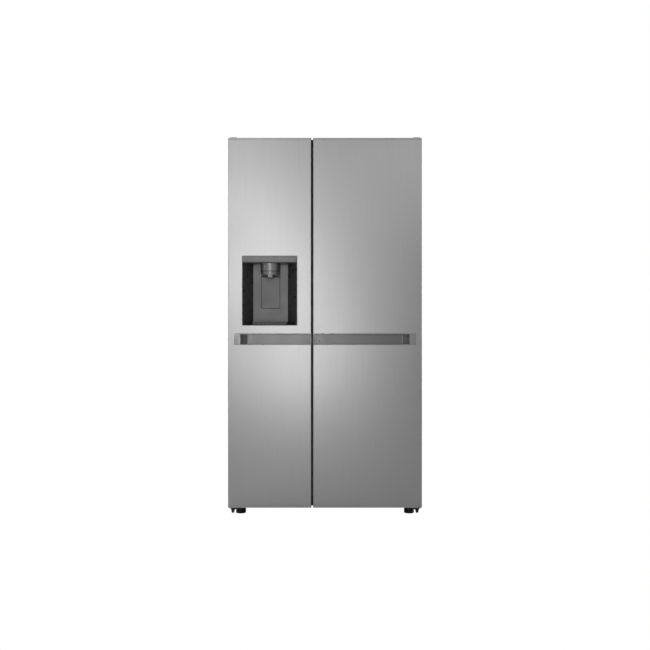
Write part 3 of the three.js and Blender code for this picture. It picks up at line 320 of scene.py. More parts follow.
DOOR_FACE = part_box("freezer_door_skin")[0].y
HANDLE_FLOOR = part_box("freezer_door_handle")[1].y
FINISHES = {
    "side_paint": painted_steel("side_paint", grey(0.30), 0.45),
    "galvanised_sheet": zinc_sheet("galvanised_sheet", grey(0.50, -0.01), 0.42),
    "black_enamel": enamel("black_enamel", grey(0.016), 0.35),
    "hinge_steel": bare_metal("hinge_steel", grey(0.52), 0.32),
    "black_plastic": moulded_plastic("black_plastic", grey(0.018), 0.45),
    "foot_plastic": moulded_plastic("foot_plastic", grey(0.010), 0.35),
    "roller_plastic": moulded_plastic("roller_plastic", grey(0.022), 0.4),
    "fan_plastic": moulded_plastic("fan_plastic", grey(0.05), 0.4),
    "insulating_foam": foam("insulating_foam", (0.82, 0.72, 0.46)),
    "liner_plastic": liner("liner_plastic", grey(0.82, -0.01), 0.32),
    "shelf_glass": glass("shelf_glass", (0.86, 0.95, 0.93)),
    "clear_plastic": clear_plastic("clear_plastic", (0.88, 0.93, 0.95), 0.12),
    "coil_aluminium": frosted_coil("coil_aluminium", grey(0.6)),
    "door_steel": brushed_sheet("door_steel", grey(0.60), 0.30),
    "cap_plastic": moulded_plastic("cap_plastic", grey(0.26), 0.4),
    "gasket_rubber": rubber("gasket_rubber", grey(0.24, -0.02)),
    # The handle's last grey is painted shade for the floor of its trough.
    "handle_plastic": handle_lacquer("handle_plastic", grey(0.49), 0.30, grey(0.22)),
    "dispenser_plastic": moulded_plastic("dispenser_plastic", grey(0.10), 0.3, wear=0.15),
    "panel_plastic": moulded_plastic("panel_plastic", grey(0.30), 0.25, wear=0.1, Coat_Weight=0.3),
    "lever_plastic": metallic_paint("lever_plastic", grey(0.20), 0.4),
    "bright_chrome": polished_chrome("bright_chrome", grey(0.90)),
}
LAMP = lamp_diffuser("lamp_diffuser")
BACKPLATE = metallic_paint("dispenser_backplate", grey(0.22), 0.4)
NOSE_FINISH = metallic_paint("nose_lacquer", grey(0.58), 0.42)
WHITE_TRIM = liner("white_trim", grey(0.84, -0.01), 0.25)
BRASS = bare_metal("brass_thread", (0.75, 0.55, 0.25), 0.3)
CAP_LACQUER = metallic_paint("cap_lacquer", grey(0.60), 0.32)
NODE_FINISHES = {
    "ice_chute": NOSE_FINISH,
    "freezer_door_cap_top": CAP_LACQUER,
    "freezer_door_cap_bottom": CAP_LACQUER,
    "fridge_door_cap_top": CAP_LACQUER,
    "fridge_door_cap_bottom": CAP_LACQUER,
}

# ------------------------------------------------------------------ rounding and shading

EDGE_RADIUS = {"door_steel": 0.5, "side_paint": 1.0, "liner_plastic": 1.2, "insulating_foam": 1.5}
PLAIN_EDGE_RADIUS = 0.6
BEVEL_ABOVE = math.radians(32)


def round_edges(obj, radius, segments=2):
    """Rounds every sharp edge and shades the flats flat and the curves smooth."""
    obj.data.shade_smooth()
    bevel = obj.modifiers.new("edge_radius", "BEVEL")
    bevel.width = radius
    bevel.segments = segments
    bevel.limit_method = "ANGLE"
    bevel.angle_limit = BEVEL_ABOVE
    normals = obj.modifiers.new("even_normals", "WEIGHTED_NORMAL")
    normals.mode = "FACE_AREA_WITH_ANGLE"


def dress_cad_node(name, node):
    """Keeps the CAD solid, and gives it rounded edges, smooth shading and its finish."""
    slot = SLOT_OF[name]
    if node.data.has_custom_normals:
        node.data.attributes.remove(node.data.attributes["custom_normal"])
    weld = node.modifiers.new("weld", "WELD")
    weld.merge_threshold = 0.01 * MM
    flat = node.modifiers.new("flat_faces", "DECIMATE")
    flat.decimate_type = "DISSOLVE"
    flat.angle_limit = math.radians(0.5)
    round_edges(node, EDGE_RADIUS.get(slot, PLAIN_EDGE_RADIUS) * MM)
    node.data.materials.clear()
    node.data.materials.append(NODE_FINISHES.get(name, FINISHES[slot]))


# ------------------------------------------------------------------ mesh helpers


def add_piece(name, bm, body, slot, finish=None, radius=0.0, segments=2):
    """Makes an object of the mesh, with its finish, and lets it ride on its body."""
    mesh = bpy.data.meshes.new(name)
    bmesh.ops.recalc_face_normals(bm, faces=bm.faces)
    bm.to_mesh(mesh)
    bm.free()
    mesh.materials.append(finish or FINISHES[slot])
    mesh.shade_smooth()
    obj = bpy.data.objects.new(name, mesh)
    bpy.context.scene.collection.objects.link(obj)
    if radius:
        round_edges(obj, radius, segments)
    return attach(obj, body)


def slab(bm, low, high):
    """A block between two corners."""
    size = Vector(high) - Vector(low)
    place = Matrix.Translation((Vector(low) + Vector(high)) / 2) @ Matrix.Diagonal((*size, 1))
    bmesh.ops.create_cube(bm, size=1.0, matrix=place)


def skin(bm, loops, open_ends=False):
    """Joins rings of points of the same count into one surface, and closes its two ends."""
    rings = [[bm.verts.new(point) for point in loop] for loop in loops]
    for lower, upper in zip(rings, rings[1:]):
        count = len(lower)
        for i in range(count):
            bm.faces.new((lower[i], lower[(i + 1) % count], upper[(i + 1) % count], upper[i]))
    if not open_ends:
        bm.faces.new(rings[0])
        bm.faces.new(rings[-1])


def prism(bm, axis, outline, start, end):
    """An outline in the two other axes, drawn out along x, y or z."""
    places = {
        "x": lambda u, v, w: (w, u, v),
        "y": lambda u, v, w: (u, w, v),
        "z": lambda u, v, w: (u, v, w),
    }[axis]
    skin(bm, [[places(u, v, w) for u, v in outline] for w in (start, end)])


def turned(bm, centre, axis, profile, steps=32):
    """A turned shape: its profile is (radius, height) along the axis from the centre."""
    turn = {"x": Matrix.Rotation(math.pi / 2, 3, "Y"), "y": Matrix.Rotation(-math.pi / 2, 3, "X")}
    turn = turn.get(axis, Matrix.Identity(3))
    loops = []
    for radius, height in profile:
        ring = [(math.cos(a) * radius, math.sin(a) * radius, height) for a in angles(steps)]
        loops.append([Vector(centre) + turn @ Vector(point) for point in ring])
    skin(bm, loops)


def angles(steps):
    """Evenly spaced angles around a full turn."""
    return [2 * math.pi * i / steps for i in range(steps)]


def rounded_loop(x0, x1, y0, y1, z, radius, steps=5):
    """A ring of points around a rounded rectangle at height z."""
    corners = ((x1, y1, 0), (x0, y1, 1), (x0, y0, 2), (x1, y0, 3))
    points = []
    for x, y, quarter in corners:
        cx = x - radius if quarter in (0, 3) else x + radius
        cy = y - radius if quarter in (0, 1) else y + radius
        for i in range(steps + 1):
            angle = math.pi / 2 * (quarter + i / steps)
            points.append((cx + radius * math.cos(angle), cy + radius * math.sin(angle), z))
    return points


def tray(bm, low, high, wall, radius, rim=0.0, floor_radius=4 * MM):
    """An open box with round corners, a turned-out rim and a rounded floor edge."""
    (x0, y0, z0), (x1, y1, z1) = low, high

    def ring(inset, z):
        return rounded_loop(x0 + inset, x1 - inset, y0 + inset, y1 - inset, z, max(radius - inset, 1 * MM))

    outside = [ring(rim + floor_radius, z0), ring(rim + floor_radius * 0.3, z0 + floor_radius * 0.3),
               ring(rim, z0 + floor_radius), ring(rim, z1 - 8 * MM), ring(0, z1 - 6 * MM), ring(0, z1)]
    inner = rim + wall
    inside = [ring(inner, z1), ring(inner, z0 + wall + floor_radius),
              ring(inner + floor_radius * 0.7, z0 + wall + floor_radius * 0.3),
              ring(inner + floor_radius, z0 + wall)]
    skin(bm, outside + inside)


def inset_loop(low, high, inset, radius):
    """A rounded rectangle inside the plan of a box, by the inset on each side."""
    return rounded_loop(low[0] + inset, high[0] - inset, low[1] + inset, high[1] - inset, 0, radius)


def hoop(bm, outer, inner, first, second):
    """A closed band between two loops of the same plan, from one height to the other."""
    heights = ((inner, first), (outer, first), (outer, second), (inner, second))
    loops = [[(x, y, z) for x, y, _ in loop] for loop, z in heights]
    skin(bm, loops + [loops[0]], open_ends=True)
    bmesh.ops.remove_doubles(bm, verts=bm.verts, dist=0.01 * MM)


def framed(bm, profile, x0, x1, z0, z1, y0):
    """A profile of (inwards, depth) points swept around an upright rectangle, mitred at its corners."""
    corners = ((x0, z0, 1, 1), (x1, z0, -1, 1), (x1, z1, -1, -1), (x0, z1, 1, -1))
    rings = [[bm.verts.new((x + sx * u, y0 + v, z + sz * u)) for u, v in profile] for x, z, sx, sz in corners]
    count = len(profile)
    for k, ring in enumerate(rings):
        following = rings[(k + 1) % 4]
        for i in range(count):
            bm.faces.new((ring[i], ring[(i + 1) % count], following[(i + 1) % count], following[i]))


def tube(name, points, radius, body, slot, finish=None):
    """A round tube or wire through the points."""
    curve = bpy.data.curves.new(name, "CURVE")
    curve.dimensions = "3D"
    curve.bevel_depth = radius
    curve.bevel_resolution = 4
    curve.use_fill_caps = True
    spline = curve.splines.new("BEZIER")
    spline.bezier_points.add(len(points) - 1)
    for bezier, point in zip(spline.bezier_points, points):
        bezier.co = point
        bezier.handle_left_type = bezier.handle_right_type = "AUTO"
    curve.materials.append(finish or FINISHES[slot])
    obj = bpy.data.objects.new(name, curve)
    bpy.context.scene.collection.objects.link(obj)
    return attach(obj, body)


def screw(name, place, axis, sign, body, slot="hinge_steel", radius=4.2 * MM):
    """A pan head screw with a cross recess. Its axis is x, y or z, and its head points along the sign."""
    bm = bmesh.new()
    profile = [(radius, 0), (radius, 0.8 * MM), (radius * 0.86, 1.7 * MM), (radius * 0.5, 2.3 * MM),
               (radius * 0.18, 2.35 * MM), (radius * 0.16, 1.4 * MM)]
    turned(bm, place, axis, [(r, h * sign) for r, h in profile], 20)
    add_piece(name, bm, body, slot)


# ------------------------------------------------------------------ door seals


def door_seal(door):
    """The magnetic seal: a flat magnet sleeve on a folded bellows, swept around the door's rear."""
    node = f"{door}_door_gasket"
    low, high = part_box(node)
    depth = high.y - low.y
    foot, waist, fold = 0.25 * depth, 0.45 * depth, 0.6 * depth
    width = 18 * MM
    profile = [
        (4 * MM, 0), (5 * MM, foot), (1.5 * MM, waist), (3.5 * MM, fold), (0.5 * MM, 0.68 * depth),
        (0.5 * MM, 0.94 * depth), (1.5 * MM, depth), (width - 2 * MM, depth), (width - MM, 0.94 * depth),
        (width - MM, 0.68 * depth), (width - 4 * MM, fold), (width - 2 * MM, waist), (width - 6 * MM, foot),
        (width - 5 * MM, 0),
    ]
    bm = bmesh.new()
    framed(bm, profile, low.x, high.x, low.z, high.z, low.y)
    seal = add_piece(f"{door}_door_seal", bm, BODY_OF[node], "gasket_rubber", radius=0.4 * MM)
    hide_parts(node)


# ------------------------------------------------------------------ shelves, drawers and door bins

GLASS_THICKNESS = 6 * MM
SHELF_TRIM_DEPTH = 14 * MM


def glass_shelf(name, low, high, stands_for=None):
    """A glass plate in a moulded front trim, with a bright strip along it and a rear rail."""
    glass_floor = high.z - 8 * MM
    glass_shape = bmesh.new()
    slab(glass_shape, (low.x, low.y + 4 * MM, glass_floor), (high.x, high.y, glass_floor + GLASS_THICKNESS))
    plate = add_piece(f"{name}_glass", glass_shape, "cabinet", "shelf_glass", radius=1.2 * MM, segments=3)
    if stands_for:
        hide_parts(stands_for)
    front = low.y
    gap = 0.3 * MM
    slot_bottom, slot_top = glass_floor - gap, glass_floor + GLASS_THICKNESS + gap
    slot_end, rear = front + 4 * MM - gap, front + SHELF_TRIM_DEPTH
    trim_outline = [
        (front + 2 * MM, low.z), (front, low.z + 3 * MM), (front, high.z - 3 * MM), (front + 3 * MM, high.z),
        (rear, high.z), (rear, slot_top), (slot_end, slot_top),
        (slot_end, slot_bottom), (rear, slot_bottom), (rear - 4 * MM, low.z),
    ]
    trim_shape = bmesh.new()
    prism(trim_shape, "x", trim_outline, low.x + 10 * MM, high.x - 10 * MM)
    add_piece(f"{name}_trim", trim_shape, "cabinet", "liner_plastic", WHITE_TRIM, radius=0.8 * MM)
    strip = bmesh.new()
    middle = (low.z + high.z) / 2
    slab(strip, (low.x + 14 * MM, front - 0.6 * MM, middle - 3 * MM),
         (high.x - 14 * MM, front + 0.4 * MM, middle + 3 * MM))
    add_piece(f"{name}_strip", strip, "cabinet", "bright_chrome", radius=0.3 * MM)
    rail = bmesh.new()
    rail_top = glass_floor + GLASS_THICKNESS
    slab(rail, (low.x + 6 * MM, high.y - 8 * MM, rail_top + 0.2 * MM),
         (high.x - 6 * MM, high.y - 1 * MM, rail_top + 9 * MM))
    add_piece(f"{name}_rear_rail", rail, "cabinet", "liner_plastic", WHITE_TRIM, radius=1.5 * MM)


def drawer_box(node):
    """A clear drawer: a moulded tub with a rim, and a thicker front with a grip along its top."""
    low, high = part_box(node)
    body = BODY_OF[node]
    front_wall = low.y + 8 * MM
    bm = bmesh.new()
    tray(bm, (low.x, front_wall, low.z), (high.x, high.y, high.z), 2.5 * MM, 9 * MM, rim=2 * MM)
    tub = add_piece(f"{node}_tub", bm, body, "clear_plastic")
    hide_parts(node)
    grip_top, grip_depth = high.z - 7 * MM, 7 * MM
    outline = [(front_wall + 1.2 * MM, low.z + 9 * MM), (front_wall - 1.5 * MM, low.z + 12 * MM)]
    for i in range(7):
        turn = math.pi * i / 6
        outline.append((front_wall - 1.5 * MM - grip_depth / 2 * (1 - math.cos(turn)),
                        grip_top - 46 * MM + 40 * MM * i / 6))
    outline += [(low.y, grip_top), (low.y + 2.5 * MM, grip_top), (front_wall - 2 * MM, grip_top - 26 * MM),
                (front_wall + 1.2 * MM, grip_top - 20 * MM)]
    face = bmesh.new()
    prism(face, "x", outline, low.x + 13 * MM, high.x - 13 * MM)
    add_piece(f"{node}_front", face, body, "liner_plastic", WHITE_TRIM, radius=0.7 * MM)


def door_bin(name, door, low, high, stands_for=None):
    """A door bin: a clear tub with a white guard rail along its open side."""
    body = f"{door}_door"
    bm = bmesh.new()
    tray(bm, low, high, 2.5 * MM, 12 * MM, rim=2.5 * MM)
    tub = add_piece(f"{name}_tub", bm, body, "clear_plastic")
    if stands_for:
        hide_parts(stands_for)
    band = bmesh.new()
    bottom, top = high[2] - 34 * MM, high[2] - 9 * MM
    outer = inset_loop(low, high, 1 * MM, 12 * MM)
    inner = inset_loop(low, high, 2.4 * MM, 10.6 * MM)
    hoop(band, outer, inner, bottom, top)
    add_piece(f"{name}_guard", band, body, "liner_plastic", WHITE_TRIM, radius=0.4 * MM)


THIRD_SHELF_RISE = {"freezer": 0.33, "fridge": 0.25}         # above the second shelf
EXTRA_BIN_FLOORS = {"freezer": (0.395, 0.725), "fridge": (0.47, 0.71, 0.9, 1.31, 1.5)}
EXTRA_BIN_HEIGHT = 0.11


def furnish_compartments():
    """The shelves, drawers and door bins: those of the CAD, and the ones between them."""
    for node in ("freezer_shelf_1", "freezer_shelf_2", "fridge_shelf_1", "fridge_shelf_2", "crisper_cover"):
        glass_shelf(node, *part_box(node), stands_for=node)
    for door, rise in THIRD_SHELF_RISE.items():
        low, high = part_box(f"{door}_shelf_2")
        lift = Vector((0, 0, rise))
        glass_shelf(f"{door}_shelf_3", low + lift, high + lift)
    for node in ("freezer_drawer_upper", "freezer_drawer_lower", "crisper_upper", "crisper_lower"):
        drawer_box(node)
    for door in DOORS:
        for level in ("lower", "upper"):
            node = f"{door}_bin_{level}"
            door_bin(node, door, *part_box(node), stands_for=node)
    for door, floors in EXTRA_BIN_FLOORS.items():
        low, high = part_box(f"{door}_bin_upper")
        for i, floor in enumerate(floors):
            door_bin(f"{door}_bin_extra_{i + 1}", door, (low.x, low.y, floor),
                     (high.x, high.y, floor + EXTRA_BIN_HEIGHT))


CEILING = 1.7                          # the compartments' ceiling
LAMP_WIDTH, LAMP_DEPTH = 0.18, 0.055
LAMP_FRONT = -0.09


def ceiling_lamp(door):
    """A lamp in the compartment's ceiling: a milky cover in a white frame."""
    low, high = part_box(f"{door}_liner")
    middle = (low.x + high.x) / 2
    corner = Vector((middle - LAMP_WIDTH / 2, LAMP_FRONT))
    opposite = corner + Vector((LAMP_WIDTH, LAMP_DEPTH))
    cover = bmesh.new()
    rings = []
    for inset, drop in ((0, 0.2 * MM), (0, 4 * MM), (4 * MM, 7 * MM)):
        plan = inset_loop(corner, opposite, inset, 8 * MM)
        rings.append([(x, y, CEILING - drop) for x, y, _ in plan])
    skin(cover, rings)
    add_piece(f"{door}_lamp_cover", cover, "cabinet", "liner_plastic", LAMP)
    frame_shape = bmesh.new()
    outer = inset_loop(corner, opposite, -7 * MM, 12 * MM)
    inner = inset_loop(corner, opposite, -0.5 * MM, 8 * MM)
    hoop(frame_shape, outer, inner, CEILING - 3 * MM, CEILING - 0.2 * MM)
    add_piece(f"{door}_lamp_frame", frame_shape, "cabinet", "liner_plastic", WHITE_TRIM, radius=0.6 * MM)


# ------------------------------------------------------------------ dispenser

DISPENSER_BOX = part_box("dispenser_housing")
DISPENSER_FACE = DISPENSER_BOX[0].y
DISPENSER_MIDDLE = (DISPENSER_BOX[0].x + DISPENSER_BOX[1].x) / 2
NOSE_RADIUS = 46 * MM
NOSE_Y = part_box("ice_chute")[0].y + NOSE_RADIUS
NOSE_BOTTOM = 1.148                    # where the nose's wall ends over its ring
CAVITY_DEPTH = 97.5 * MM
CHEEK_SPREAD = 43 * MM                 # how far the cavity's mouth is wider than its rear, on each side
CHEEK_POWER = 1.3
BACKPLATE_HALF = 83 * MM
PAD_HALF = 43.75 * MM
PAD_CORNER = 7 * MM
BACKPLATE_TOP = 1.1895
BACKPLATE_BOTTOM = 0.9135


def cheek_y(reach):
    """The cavity side's y where it has spread by the reach from the rear panel's edge."""
    return DISPENSER_FACE + CAVITY_DEPTH * (1 - (reach / CHEEK_SPREAD) ** (1 / CHEEK_POWER))


def dispenser_backplate():
    """The lighter panel at the back of the cavity, with a round-cornered opening for the push pad."""
    low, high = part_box("dispenser_lever")
    margin = 1.8 * MM
    rear = DISPENSER_FACE + CAVITY_DEPTH - 0.3 * MM
    front = rear - 1.3 * MM
    pad_half = PAD_HALF + margin
    hole = rounded_loop(DISPENSER_MIDDLE - pad_half, DISPENSER_MIDDLE + pad_half,
                        low.z - margin, high.z + margin, front, PAD_CORNER + margin)
    left, right = DISPENSER_MIDDLE - BACKPLATE_HALF, DISPENSER_MIDDLE + BACKPLATE_HALF
    bottom, top = BACKPLATE_BOTTOM, BACKPLATE_TOP
    edge = [(left, bottom), (right, bottom), (right, top), (left, top)]
    bm = bmesh.new()
    for ring in ([(x, z) for x, z, _ in hole], edge):
        corners = [bm.verts.new((x, front, z)) for x, z in ring]
        for first, second in zip(corners, corners[1:] + corners[:1]):
            bm.edges.new((first, second))
    bmesh.ops.triangle_fill(bm, edges=bm.edges[:], use_beauty=True)
    grown = bmesh.ops.extrude_face_region(bm, geom=bm.faces[:])
    moved = [item for item in grown["geom"] if isinstance(item, bmesh.types.BMVert)]
    bmesh.ops.translate(bm, verts=moved, vec=(0, rear - front, 0))
    add_piece("dispenser_backplate", bm, "freezer_door", "dispenser_plastic", BACKPLATE, radius=0.3 * MM)


def dispenser_corner_tip(side):
    """The panel's upper corner, which runs out along the cavity's side and tapers away."""
    columns = 8
    reach_end, height = 6 * MM, 13 * MM
    loops = []
    for i in range(columns + 1):
        t = i / columns
        reach = reach_end * t
        x = DISPENSER_MIDDLE + side * (BACKPLATE_HALF + reach)
        y = cheek_y(reach) - 0.6 * MM
        bottom = BACKPLATE_TOP - height * (1 - t) ** 1.5 - 1.5 * MM
        inner_x, inner_y = x - side * 1 * MM, y - 0.6 * MM
        loops.append([(x, y, BACKPLATE_TOP), (x, y, bottom),
                      (inner_x, inner_y, bottom), (inner_x, inner_y, BACKPLATE_TOP)])
    bm = bmesh.new()
    skin(bm, loops)
    label = "left" if side < 0 else "right"
    add_piece(f"dispenser_corner_{label}", bm, "freezer_door", "dispenser_plastic", BACKPLATE)


def nose_band():
    """The dark joint line around the chute's nose."""
    radius, height, thickness = NOSE_RADIUS - 0.9 * MM, 3 * MM, 0.5 * MM
    bottom = NOSE_BOTTOM + 4 * MM
    steps = 24
    loops = []
    for i in range(steps + 1):
        angle = math.radians(180 + 180 * i / steps)
        ring = []
        for r, z in ((radius - thickness, bottom), (radius + thickness, bottom),
                     (radius + thickness, bottom + height), (radius - thickness, bottom + height)):
            ring.append((DISPENSER_MIDDLE + r * math.cos(angle), NOSE_Y + r * math.sin(angle), z))
        loops.append(ring)
    bm = bmesh.new()
    skin(bm, loops)
    add_piece("nose_band", bm, "freezer_door", "dispenser_plastic", radius=0.2 * MM)


def nose_lamp(side):
    """A small lamp lens in the nose."""
    offset = 23.8 * MM
    surface = NOSE_Y - math.sqrt((NOSE_RADIUS - 0.4 * MM) ** 2 - offset ** 2)
    bm = bmesh.new()
    profile = [(2.6 * MM, 2 * MM), (2.6 * MM, -0.2 * MM), (2.2 * MM, -0.9 * MM),
               (1.2 * MM, -1.4 * MM), (0.3 * MM, -1.5 * MM)]
    centre = (DISPENSER_MIDDLE + side * offset, surface, NOSE_BOTTOM + 28 * MM)
    turned(bm, centre, "y", profile, 20)
    label = "left" if side < 0 else "right"
    add_piece(f"nose_lamp_{label}", bm, "freezer_door", "dispenser_plastic", WHITE_TRIM)


def dispenser_outline():
    """The thin dark joint around the dispenser, on the door's face."""
    low, high = DISPENSER_BOX
    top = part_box("dispenser_panel")[1].z
    bm = bmesh.new()
    profile = [(-0.9 * MM, 0.3 * MM), (-0.9 * MM, -0.2 * MM), (0.9 * MM, -0.2 * MM), (0.9 * MM, 0.3 * MM)]
    framed(bm, profile, low.x, high.x, low.z, top, DISPENSER_FACE)
    add_piece("dispenser_outline", bm, "freezer_door", "dispenser_plastic")


def detail_dispenser():
    """The dispenser's pieces that the CAD leaves out."""
    dispenser_backplate()
    nose_band()
    dispenser_outline()
    for side in (-1, 1):
        dispenser_corner_tip(side)
        nose_lamp(side)


def handle_seam():
    """The thin joint line near the open end of the fridge door's handle."""
    low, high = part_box("fridge_door_handle")
    x = low.x + 15 * MM
    floor = high.y - 2.5 * MM
    bm = bmesh.new()
    slab(bm, (x, floor - 0.8 * MM, low.z + 3 * MM), (x + 1.8 * MM, floor + 0.2 * MM, low.z + 50 * MM))
    add_piece("fridge_handle_seam", bm, "fridge_door", "handle_plastic", radius=0.3 * MM)


# ------------------------------------------------------------------ the back


BEAD_PLACES = (-0.32, -0.11, 0.11, 0.32)
BEAD_BOTTOM = 0.32
BEAD_HALF_WIDTH, BEAD_HEIGHT = 9 * MM, 3.4 * MM


def rear_beads():
    """Pressed stiffening beads down the rear sheet, which fade out at their ends."""
    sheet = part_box("back_panel")[1]
    bottom, top = BEAD_BOTTOM, sheet.z - 0.09
    base = sheet.y - 0.3 * MM
    sections = ((bottom, 0.05), (bottom + 6 * MM, 0.7), (bottom + 16 * MM, 1),
                (top - 16 * MM, 1), (top - 6 * MM, 0.7), (top, 0.05))
    steps = 8
    for i, x in enumerate(BEAD_PLACES):
        loops = []
        for z, shrink in sections:
            ring = []
            for k in range(steps + 1):
                angle = math.pi * k / steps
                ring.append((x + BEAD_HALF_WIDTH * shrink * math.cos(angle),
                             base + BEAD_HEIGHT * shrink * math.sin(angle), z))
            loops.append(ring)
        bm = bmesh.new()
        skin(bm, loops)
        add_piece(f"rear_bead_{i + 1}", bm, "cabinet", "galvanised_sheet")


SCREW_X = 0.444                        # the rear sheet's side screws
SCREW_ROWS = 6
COVER_PLATE = 0.3525                   # rear face of the machine cover's plate
COVER_SCREW_START, COVER_SCREW_PITCH = -0.43, 0.215


def rear_fasteners():
    """The screws along the rear sheet's sides and around the machine cover."""
    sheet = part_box("back_panel")[1]
    lowest, reach = 0.29, sheet.z - 0.31
    for side, label in ((-1, "left"), (1, "right")):
        for i in range(SCREW_ROWS):
            z = lowest + reach * i / (SCREW_ROWS - 1)
            screw(f"rear_screw_{label}_{i + 1}", (side * SCREW_X, sheet.y, z), "y", 1, "cabinet")
    cover_low, cover_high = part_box("machine_cover")
    for i in range(5):
        x = COVER_SCREW_START + COVER_SCREW_PITCH * i
        for label, z in (("lower", cover_low.z + 9 * MM), ("upper", cover_high.z - 9 * MM)):
            screw(f"cover_screw_{label}_{i + 1}", (x, COVER_PLATE, z), "y", 1, "cabinet")


def water_inlet():
    """The water valve on the rear cover, with its tube going up the back into the cabinet."""
    bm = bmesh.new()
    x, plate, z = 0.335, 0.3527, 0.205
    slab(bm, (x - 22 * MM, plate, z - 16 * MM), (x + 22 * MM, plate + 13 * MM, z + 16 * MM))
    add_piece("water_valve", bm, "cabinet", "roller_plastic", radius=2.5 * MM, segments=3)
    thread = bmesh.new()
    profile = [(9 * MM, 0)]
    for i in range(5):
        profile += [(9 * MM, -(2 + 2 * i) * MM), (7.6 * MM, -(3 + 2 * i) * MM)]
    profile += [(7.6 * MM, -13 * MM), (4 * MM, -13 * MM), (4 * MM, -6 * MM)]
    turned(thread, (x, plate + 7.5 * MM, z - 16 * MM), "z", profile, 24)
    scale = Matrix.Diagonal((1, 0.8, 1, 1))
    centre = Matrix.Translation((x, plate + 7.5 * MM, 0))
    thread.transform(centre @ scale @ centre.inverted())
    add_piece("water_thread", thread, "cabinet", "hinge_steel", BRASS)
    rise = plate + 6 * MM
    route = [
        (x + 10 * MM, rise, z + 15 * MM), (x + 11 * MM, rise, z + 60 * MM), (x + 14 * MM, rise - MM, 0.45),
        (x + 14 * MM, rise - MM, 0.9), (x + 12 * MM, rise - MM, 1.2), (x + 12 * MM, 0.352, 1.235),
    ]
    tube("water_tube", route, 3.2 * MM, "cabinet", "liner_plastic", WHITE_TRIM)
    sheet_face = 0.3502
    for i, height in enumerate((0.4, 0.75, 1.1)):
        clip = bmesh.new()
        slab(clip, (x + 5 * MM, sheet_face, height), (x + 22 * MM, rise + 4.5 * MM, height + 9 * MM))
        add_piece(f"tube_clip_{i + 1}", clip, "cabinet", "black_plastic", radius=1.5 * MM)


def hinge_bolts():
    """Hexagon bolts that hold the hinges to the cabinet."""
    for side, label in ((-1, "left"), (1, "right")):
        low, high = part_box(f"lower_hinge_{label}")
        for i, share in enumerate((0.25, 0.75)):
            x = low.x + (high.x - low.x) * share
            bm = bmesh.new()
            profile = [(5.8 * MM, 0), (5.8 * MM, -3 * MM), (5 * MM, -3.6 * MM)]
            turned(bm, (x, high.y - 22 * MM, low.z), "z", profile, 6)
            add_piece(f"lower_bolt_{label}_{i + 1}", bm, "cabinet", "hinge_steel", radius=0.4 * MM)


# ------------------------------------------------------------------ putting the object together

for node_name, node_object in NODES.items():
    dress_cad_node(node_name, node_object)
for door_name in DOORS:
    door_seal(door_name)
    ceiling_lamp(door_name)
furnish_compartments()
detail_dispenser()
handle_seam()
rear_beads()
rear_fasteners()
water_inlet()
hinge_bolts()

# ------------------------------------------------------------------ camera, floor and lights

EYE_HEIGHT = 0.899
EYE_DISTANCE = 5.2                     # from the camera to the doors' front face
FIELD_WIDTH_AT_DOORS = 3.059           # what the picture is wide at the doors' front face
SENSOR = 36.0


def make_camera():
    """A level camera straight in front of the doors."""
    data = bpy.data.cameras.new("camera")
    data.sensor_width = SENSOR
    data.lens = SENSOR * EYE_DISTANCE / FIELD_WIDTH_AT_DOORS
    camera = bpy.data.objects.new("camera", data)
    camera.location = (0.0, DOOR_FACE - EYE_DISTANCE, EYE_HEIGHT)
    camera.rotation_euler = (math.radians(90), 0, 0)
    bpy.context.scene.collection.objects.link(camera)
    bpy.context.scene.camera = camera


def make_floor():
    """A pale floor that runs into a white background, as in a cut-out studio picture."""
    size = 14.0
    mesh = bpy.data.meshes.new("floor")
    bm = bmesh.new()
    bmesh.ops.create_grid(bm, x_segments=4, y_segments=4, size=size)
    bm.to_mesh(mesh)
    bm.free()
    floor = bpy.data.objects.new("floor", mesh)
    bpy.context.scene.collection.objects.link(floor)
    s = Surface("studio_floor", grey(0.55), 0.7)
    s.rough(s.noise(3.0), 0.05)
    s.bump(s.noise(40.0), 0.0002, 0.2)
    output = s.nodes["Material Output"]
    white = s.add("ShaderNodeEmission")
    white.inputs["Strength"].default_value = 1.0
    seen = s.add("ShaderNodeLightPath")
    mix = s.add("ShaderNodeMixShader")
    s.links.new(seen.outputs["Is Camera Ray"], mix.inputs["Fac"])
    s.links.new(s.shader.outputs["BSDF"], mix.inputs[1])
    s.links.new(white.outputs["Emission"], mix.inputs[2])
    s.links.new(mix.outputs["Shader"], output.inputs["Surface"])
    mesh.materials.append(s.material)


def make_world(strength):
    """White behind the object, and an even grey light from all round."""
    world = bpy.data.worlds.new("studio")
    world.use_nodes = True
    bpy.context.scene.world = world
    tree = world.node_tree
    tree.nodes.clear()
    output = tree.nodes.new("ShaderNodeOutputWorld")
    shown = tree.nodes.new("ShaderNodeBackground")
    shown.inputs["Strength"].default_value = 1.0
    shown.inputs["Color"].default_value = (1, 1, 1, 1)
    lit = tree.nodes.new("ShaderNodeBackground")
    lit.inputs["Color"].default_value = (1, 1, 1, 1)
    lit.inputs["Strength"].default_value = strength
    path = tree.nodes.new("ShaderNodeLightPath")
    mix = tree.nodes.new("ShaderNodeMixShader")
    tree.links.new(path.outputs["Is Camera Ray"], mix.inputs["Fac"])
    tree.links.new(lit.outputs["Background"], mix.inputs[1])
    tree.links.new(shown.outputs["Background"], mix.inputs[2])
    tree.links.new(mix.outputs["Shader"], output.inputs["Surface"])


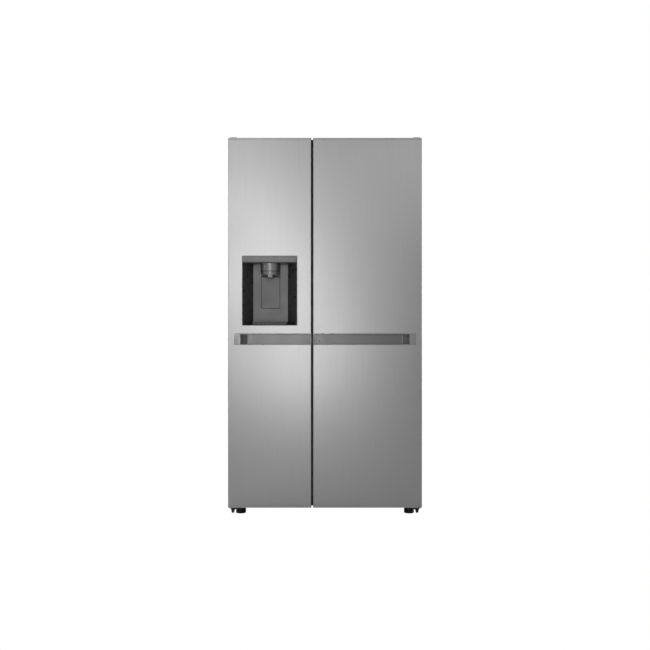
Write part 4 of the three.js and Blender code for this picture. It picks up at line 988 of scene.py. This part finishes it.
def soft_box(name, place, target, size, watts):
    """An area lamp aimed at a point."""
    data = bpy.data.lights.new(name, "AREA")
    data.shape = "RECTANGLE"
    data.size, data.size_y = size
    data.energy = watts
    lamp = bpy.data.objects.new(name, data)
    lamp.location = place
    lamp.rotation_euler = (Vector(target) - Vector(place)).to_track_quat("-Z", "Y").to_euler()
    bpy.context.scene.collection.objects.link(lamp)


# Front lamps: (x, z), (width, height) and watts. They face straight at the doors from one plane, and
# the doors show them as broad soft patches, brightest left of the middle and above the handles.
FRONT_LAMP_DISTANCE = 5.8
FRONT_LAMPS = {
    "front_middle": ((-0.48, 1.21), (0.40, 1.33), 6.2),
    "front_upper": ((-0.91, 2.14), (0.64, 1.86), 8.2),
    "front_right": ((1.18, 2.62), (2.00, 1.39), 5.9),
    "front_low": ((-0.21, 0.61), (0.41, 0.40), 4.1),
}
FILL_SIZE = (2.0, 2.0)
FILL_TARGET = (0.0, -0.2, 0.95)
FILL_LAMPS = {
    "fill_left": ((-4.0, -1.0, 1.6), 1.5),
    "fill_right": ((4.0, -1.0, 1.6), 0.4),
    "fill_top": ((0.0, -1.5, 4.2), 2.3),
}
WORLD_STRENGTH = 0.148


def light_doors():
    """The lamps in front of the doors, which shape their shading."""
    for name, ((x, z), size, watts) in FRONT_LAMPS.items():
        soft_box(name, (x, -FRONT_LAMP_DISTANCE, z), (x, 0.0, z), size, watts)
    for name, (place, watts) in FILL_LAMPS.items():
        soft_box(name, place, FILL_TARGET, FILL_SIZE, watts)


def light_sides_and_back():
    """Lamps behind the plane of the doors, which the doors' faces don't see."""
    soft_box("side_left", (-3.6, 1.2, 1.7), (-0.4, 0.0, 0.9), (2.5, 2.5), 40)
    soft_box("side_right", (3.6, 1.2, 1.7), (0.4, 0.0, 0.9), (2.5, 2.5), 40)
    soft_box("back", (-1.2, 4.4, 2.2), (0, 0, 0.9), (3.0, 2.5), 70)


make_camera()
make_floor()
make_world(WORLD_STRENGTH)
light_doors()
light_sides_and_back()

bpy.context.scene.view_settings.view_transform = "Standard"
